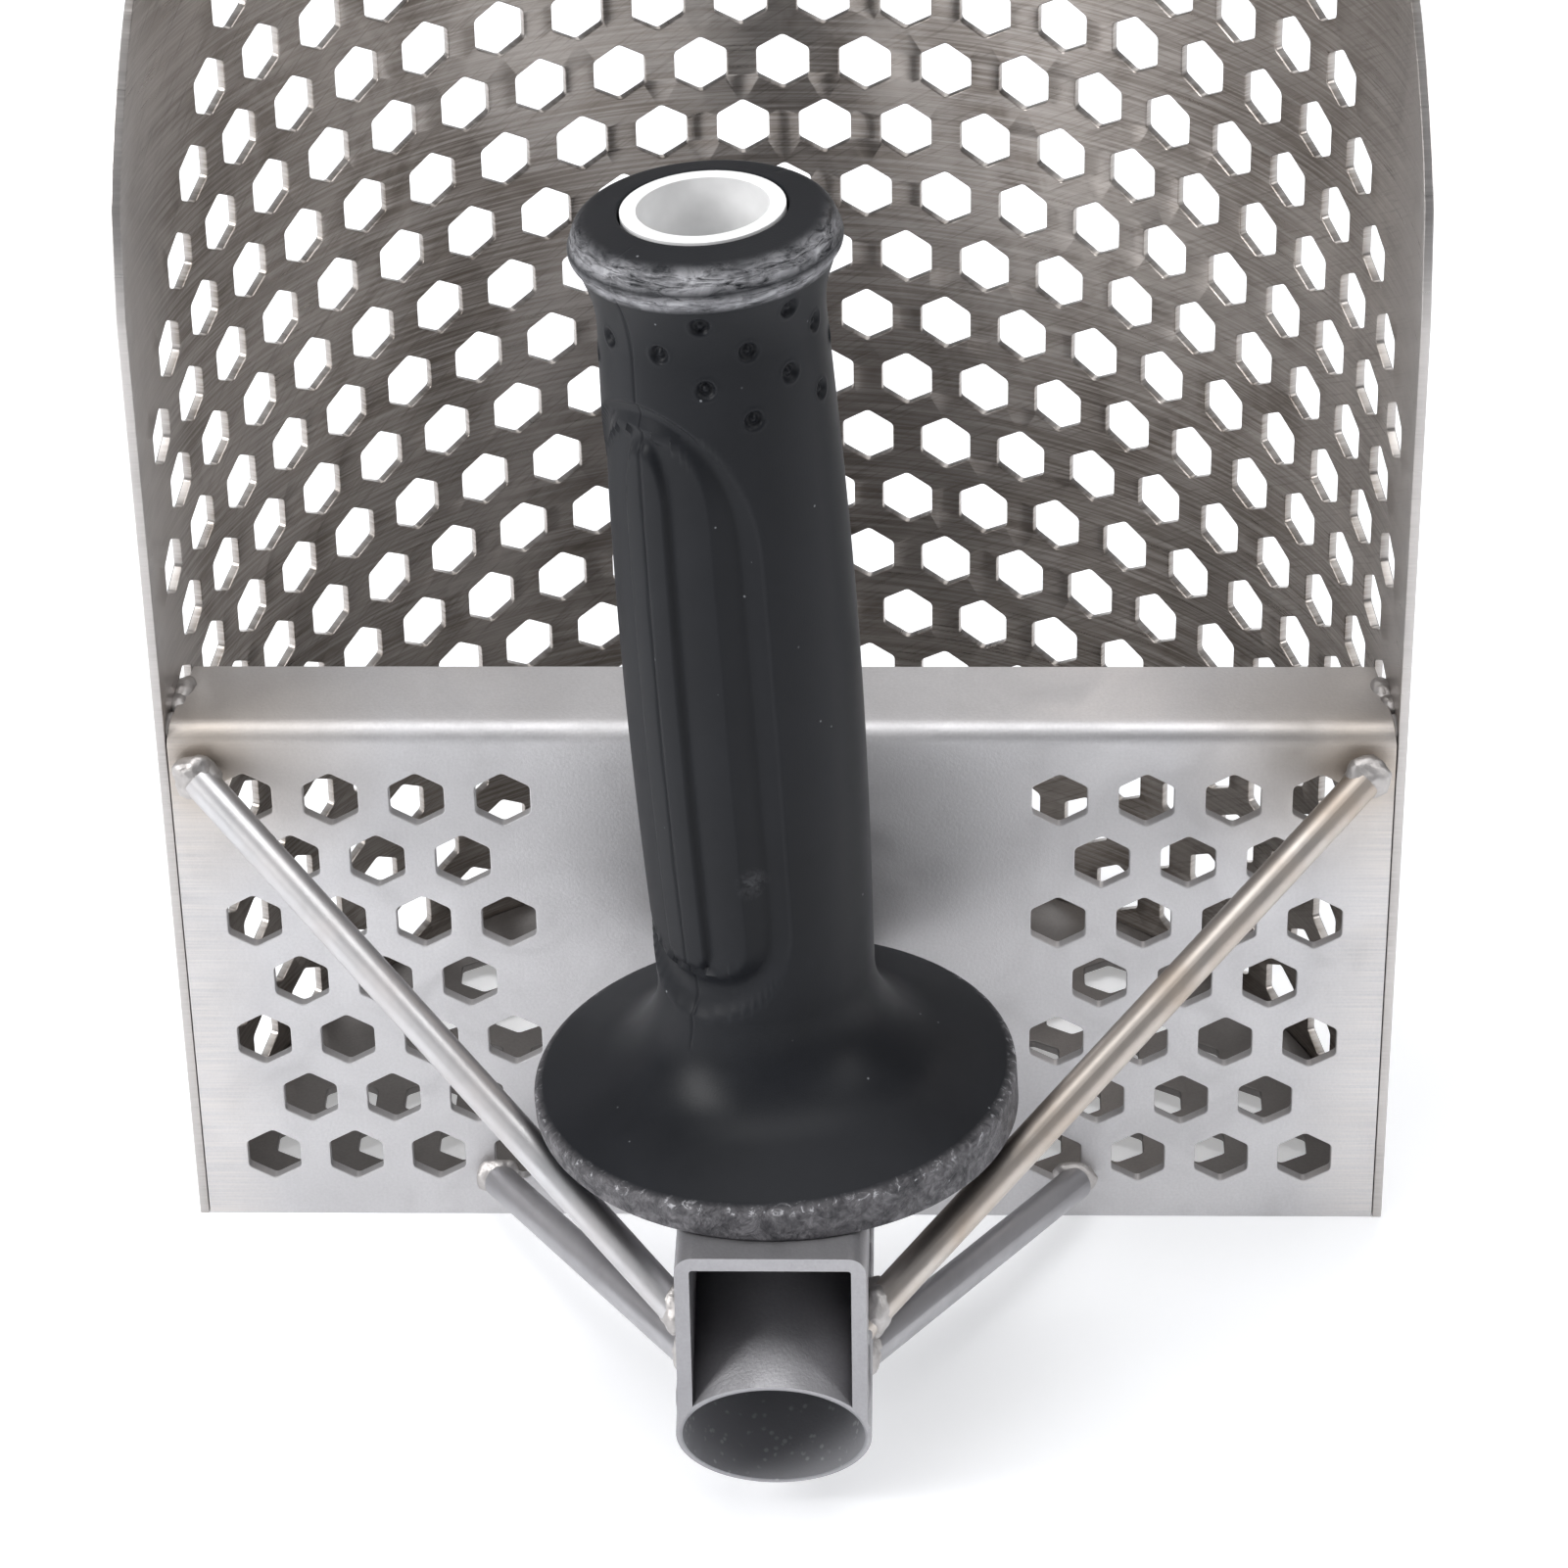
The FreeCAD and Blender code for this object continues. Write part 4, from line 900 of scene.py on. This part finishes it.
def grip_coordinates(s):
    """Height above the saddle along the grip, and the coordinates across it, in metres."""
    moved = s.node("ShaderNodeVectorMath", {0: s.place, 1: GRIP_FOOT * MM}, operation="SUBTRACT").outputs[0]
    found = []
    for axis in (GRIP_AXIS, GRIP_RIGHT, GRIP_BACK):
        dot = s.node("ShaderNodeVectorMath", {0: moved, 1: axis}, operation="DOT_PRODUCT")
        found.append(dot.outputs["Value"])
    return found


def rubber_material():
    """Black rubber, worn along the top ring and the guard's rim."""
    s = Shader("worn_black_rubber")
    height, across, back = grip_coordinates(s)
    grain = s.noise(5200.0, 2.0, 0.5)
    cloud = s.noise(60.0, 3.0, 0.55, distortion=0.4)
    blotch = s.noise(330.0, 4.0, 0.65, distortion=0.7)
    colour = s.mix(s.ramp(cloud, 0.3, 0.7), rgb(0.009, 0.0098, 0.012), rgb(0.014, 0.015, 0.018))
    flat = s.node("ShaderNodeCombineXYZ", {0: across, 1: back, 2: 0.0}).outputs[0]
    away = s.node("ShaderNodeVectorMath", {0: flat}, operation="LENGTH").outputs["Value"]
    around = s.math("MULTIPLY", s.math("ARCTAN2", across, s.math("MULTIPLY", back, -1.0)), 0.0150)
    wrapped = s.node("ShaderNodeCombineXYZ", {0: around, 1: height, 2: away}).outputs[0]
    streaks = s.noise(1.0, 4.0, 0.7, s.stretch((320.0, 1500.0, 300.0), wrapped), 0.8)
    # two worn bands run round the front of the top ring, with darker patches between them
    outside = s.ramp(away, 0.0128, 0.0140)
    front = s.ramp(back, 0.007, -0.006)
    crest = s.math("MULTIPLY", s.ramp(height, 0.1192, 0.1203), s.ramp(height, 0.1223, 0.1212))
    skirt = s.math("MULTIPLY", s.ramp(height, 0.1166, 0.1176), s.ramp(height, 0.1194, 0.1184))
    bands = s.math("MAXIMUM", s.math("MULTIPLY", crest, s.ramp(streaks, 0.36, 0.58)),
                   s.math("MULTIPLY", skirt, s.ramp(streaks, 0.30, 0.54)))
    ring_wear = s.math("MULTIPLY", s.math("MULTIPLY", bands, outside), front)
    # the guard's rim is scuffed all round
    rim = s.math("MULTIPLY", s.ramp(away, 0.0288, 0.0296), s.ramp(height, 0.0056, 0.0042))
    rim_wear = s.math("MULTIPLY", rim, s.ramp(blotch, 0.30, 0.58, 0.25, 1.0))
    chip_noise = s.noise(700.0, 3.0, 0.7, distortion=1.0)
    upper_edge = s.math("MULTIPLY", s.ramp(away, 0.0282, 0.0290), s.ramp(height, 0.0034, 0.0042))
    chips = s.math("MULTIPLY", s.math("MULTIPLY", upper_edge, rim), s.ramp(chip_noise, 0.58, 0.66))
    worn_ring = s.mix(s.ramp(blotch, 0.35, 0.65), rgb(0.17, 0.17, 0.18), rgb(0.42, 0.42, 0.44))
    worn_rim = s.mix(s.ramp(chip_noise, 0.3, 0.7), rgb(0.06, 0.057, 0.062), rgb(0.20, 0.195, 0.205))
    colour = s.mix(ring_wear, colour, worn_ring)
    colour = s.mix(rim_wear, colour, worn_rim)
    colour = s.mix(chips, colour, rgb(0.42, 0.42, 0.44))
    # dust and one scuff
    specks = s.node("ShaderNodeTexVoronoi", {"Vector": s.place, "Scale": 420.0}).outputs["Distance"]
    sparse = s.noise(240.0, 0.0)
    dust = s.math("MULTIPLY", s.ramp(specks, 0.075, 0.045), s.ramp(sparse, 0.62, 0.66))
    colour = s.mix(s.math("MULTIPLY", dust, 0.6), colour, rgb(0.30, 0.31, 0.33))
    spot = GRIP_FOOT + GRIP_AXIS * 40.2 - GRIP_BACK * 14.0 + GRIP_RIGHT * 0.4
    scuff = s.math("MULTIPLY", s.near(spot, 2.6), s.ramp(chip_noise, 0.42, 0.60))
    colour = s.mix(s.math("MULTIPLY", scuff, 0.5), colour, rgb(0.12, 0.12, 0.13))
    worn = s.math("MAXIMUM", ring_wear, rim_wear)
    rough = s.math("ADD", s.ramp(cloud, 0.3, 0.7, 0.36, 0.46), s.math("MULTIPLY", worn, 0.16))
    s.set(Base_Color=colour, Roughness=rough, Specular_IOR_Level=0.15)
    s.set(Normal=s.bump(s.math("MULTIPLY", worn, blotch), 0.0005, 0.8, s.bump(grain, 0.00004, 0.35)))
    return s.material


def plastic_material():
    """White plastic of the grip's core."""
    s = Shader("white_core_plastic")
    cloud = s.noise(300.0, 3.0)
    colour = s.mix(s.ramp(cloud, 0.3, 0.7), rgb(0.80, 0.80, 0.80), rgb(0.88, 0.88, 0.88))
    s.set(Base_Color=colour, Roughness=s.ramp(cloud, 0.3, 0.7, 0.38, 0.5), Specular_IOR_Level=0.4)
    s.set(Normal=s.bump(cloud, 0.0001, 0.2))
    return s.material


def floor_material():
    """A pale floor that glows a little, so that it stays white under the scoop."""
    s = Shader("pale_floor")
    s.set(Base_Color=s.mix(s.noise(4.0), rgb(0.84, 0.85, 0.87), rgb(0.86, 0.87, 0.89)), Roughness=0.8,
          Specular_IOR_Level=0.1, Emission_Color=rgb(1.0, 1.0, 1.0), Emission_Strength=0.32)
    return s.material


def dress(material, *objects):
    """Puts one material on each object, in every slot that it has."""
    for item in objects:
        if item.data.materials:
            for number in range(len(item.data.materials)):
                item.data.materials[number] = material
        else:
            item.data.materials.append(material)


# which piece wears which material: heat tint lies at the flange's corners and the upper struts' ends
WARM = (0.50, 0.42, 0.33)
plate_tints = [((side * 71.0, 0.0, 74.0), 22.0, WARM, 0.55) for side in (-1, 1)]
plate_tints += [((side * 73.6, 0.0, 71.8), 8.0, (0.36, 0.27, 0.18), 0.6) for side in (-1, 1)]
plate_tints += [((65.0, 0.0, 74.6), 5.0, (0.20, 0.17, 0.14), 0.5)]
plate_look = blasted_steel("blasted_plate_steel", (0.58, 0.572, 0.582), (0.66, 0.652, 0.662), 0.50, 0.62,
                           brushed_edges=True, tints=plate_tints)
tube_look = blasted_steel("blasted_tube_steel", (0.36, 0.355, 0.37), (0.44, 0.435, 0.45), 0.46, 0.58,
                          bore=(SOCKET_MOUTH, SOCKET_AXIS))
cad_welds = [nodes[n] for n in nodes if n.endswith(("welds", "weld")) and n != "saddle_seam_welds"]
dress(basket_material(), basket)
dress(plate_look, plate)
# the rear plate's steel is painted far darker than the front plate's, as painted shade for the inside of the
# basket
dress(blasted_steel("rear_steel_painted_shade", (0.17, 0.16, 0.155), (0.24, 0.23, 0.225), 0.46, 0.58), rear)
dress(rubber_material(), grip)
dress(tube_look, nodes["socket_tube"], nodes["saddle"], nodes["saddle_seam_welds"], seams)
dress(rod_steel("left_rod_steel", (0.58, 0.58, 0.59), (0.54, 0.52, 0.52), 0.34), nodes["upper_strut_left"])
dress(rod_steel("right_rod_steel", (0.53, 0.49, 0.455), (0.46, 0.395, 0.34), 0.36),
      nodes["upper_strut_right"])
dress(rod_steel("lower_rod_steel", (0.46, 0.455, 0.47), (0.40, 0.395, 0.41), 0.38),
      nodes["lower_strut_left"], nodes["lower_strut_right"])
dress(weld_steel(), *welds, *cad_welds)
dress(plastic_material(), nodes["grip_core"])
dress(rod_steel("stud_steel", (0.62, 0.62, 0.62), (0.56, 0.56, 0.56), 0.3),
      nodes["grip_stud"], nodes["grip_washer"], nodes["grip_nut"])


# ------------------------------------------------------------------ stage, light and camera
def make_floor():
    """The surface that the scoop stands on."""
    mesh = bpy.data.meshes.new("floor")
    reach = 3.0
    corners = [(-reach, -reach, 0), (reach, -reach, 0), (reach, reach, 0), (-reach, reach, 0)]
    mesh.from_pydata(corners, [], [(0, 1, 2, 3)])
    floor = bpy.data.objects.new("floor", mesh)
    bpy.context.scene.collection.objects.link(floor)
    floor.data.materials.append(floor_material())


def area_light(name, place, target, width, depth, power):
    """A soft white light at a place, aimed at the target."""
    data = bpy.data.lights.new(name, "AREA")
    data.shape = "RECTANGLE"
    data.size, data.size_y = width, depth
    data.energy = power
    lamp = bpy.data.objects.new(name, data)
    lamp.location = place
    lamp.rotation_euler = (Vector(target) - Vector(place)).to_track_quat("-Z", "Y").to_euler()
    bpy.context.scene.collection.objects.link(lamp)


def make_world():
    """A grey studio that gets brighter upwards."""
    world = bpy.data.worlds.new("studio")
    bpy.context.scene.world = world
    world.use_nodes = True
    tree = world.node_tree
    background = tree.nodes["Background"]
    place = tree.nodes.new("ShaderNodeTexCoord")
    split = tree.nodes.new("ShaderNodeSeparateXYZ")
    ramp = tree.nodes.new("ShaderNodeValToRGB")
    tree.links.new(place.outputs["Generated"], split.inputs[0])
    tree.links.new(split.outputs["Z"], ramp.inputs["Fac"])
    ramp.color_ramp.elements[0].color = (0.30, 0.30, 0.32, 1)
    ramp.color_ramp.elements[1].color = (0.80, 0.81, 0.84, 1)
    ramp.color_ramp.elements[1].position = 0.8
    tree.links.new(ramp.outputs["Color"], background.inputs["Color"])
    background.inputs["Strength"].default_value = 0.42


def make_camera():
    """A long lens in front of the scoop, looking down on it from a little to the right."""
    data = bpy.data.cameras.new("camera")
    data.sensor_width = 36.0
    data.lens = 123.69
    data.shift_y = -0.0908
    data.clip_start, data.clip_end = 0.01, 20.0
    camera = bpy.data.objects.new("camera", data)
    place = Vector((21.28, -564.62, 453.91)) * MM
    forward = Vector((-0.03049, 0.84092, -0.54030)).normalized()
    right = Vector((0.99953, 0.02590, -0.01610)).normalized()
    up = right.cross(forward).normalized()
    turn = Matrix((right, up, -forward)).transposed()
    camera.matrix_world = Matrix.Translation(place) @ turn.to_4x4()
    bpy.context.scene.collection.objects.link(camera)
    bpy.context.scene.camera = camera


make_floor()
make_world()
scoop_middle = (0, 0.02, 0.10)
area_light("top_soft", (0.0, -0.10, 1.40), scoop_middle, 1.1, 0.8, 10.0)
area_light("left_soft", (-1.10, -0.50, 0.80), scoop_middle, 0.45, 0.9, 15.0)
area_light("right_soft", (1.05, -0.40, 0.80), scoop_middle, 0.35, 0.7, 4.0)
area_light("back_soft", (0.1, 1.1, 0.9), scoop_middle, 1.2, 0.7, 4.0)
make_camera()
bpy.context.scene.view_settings.view_transform = "Standard"
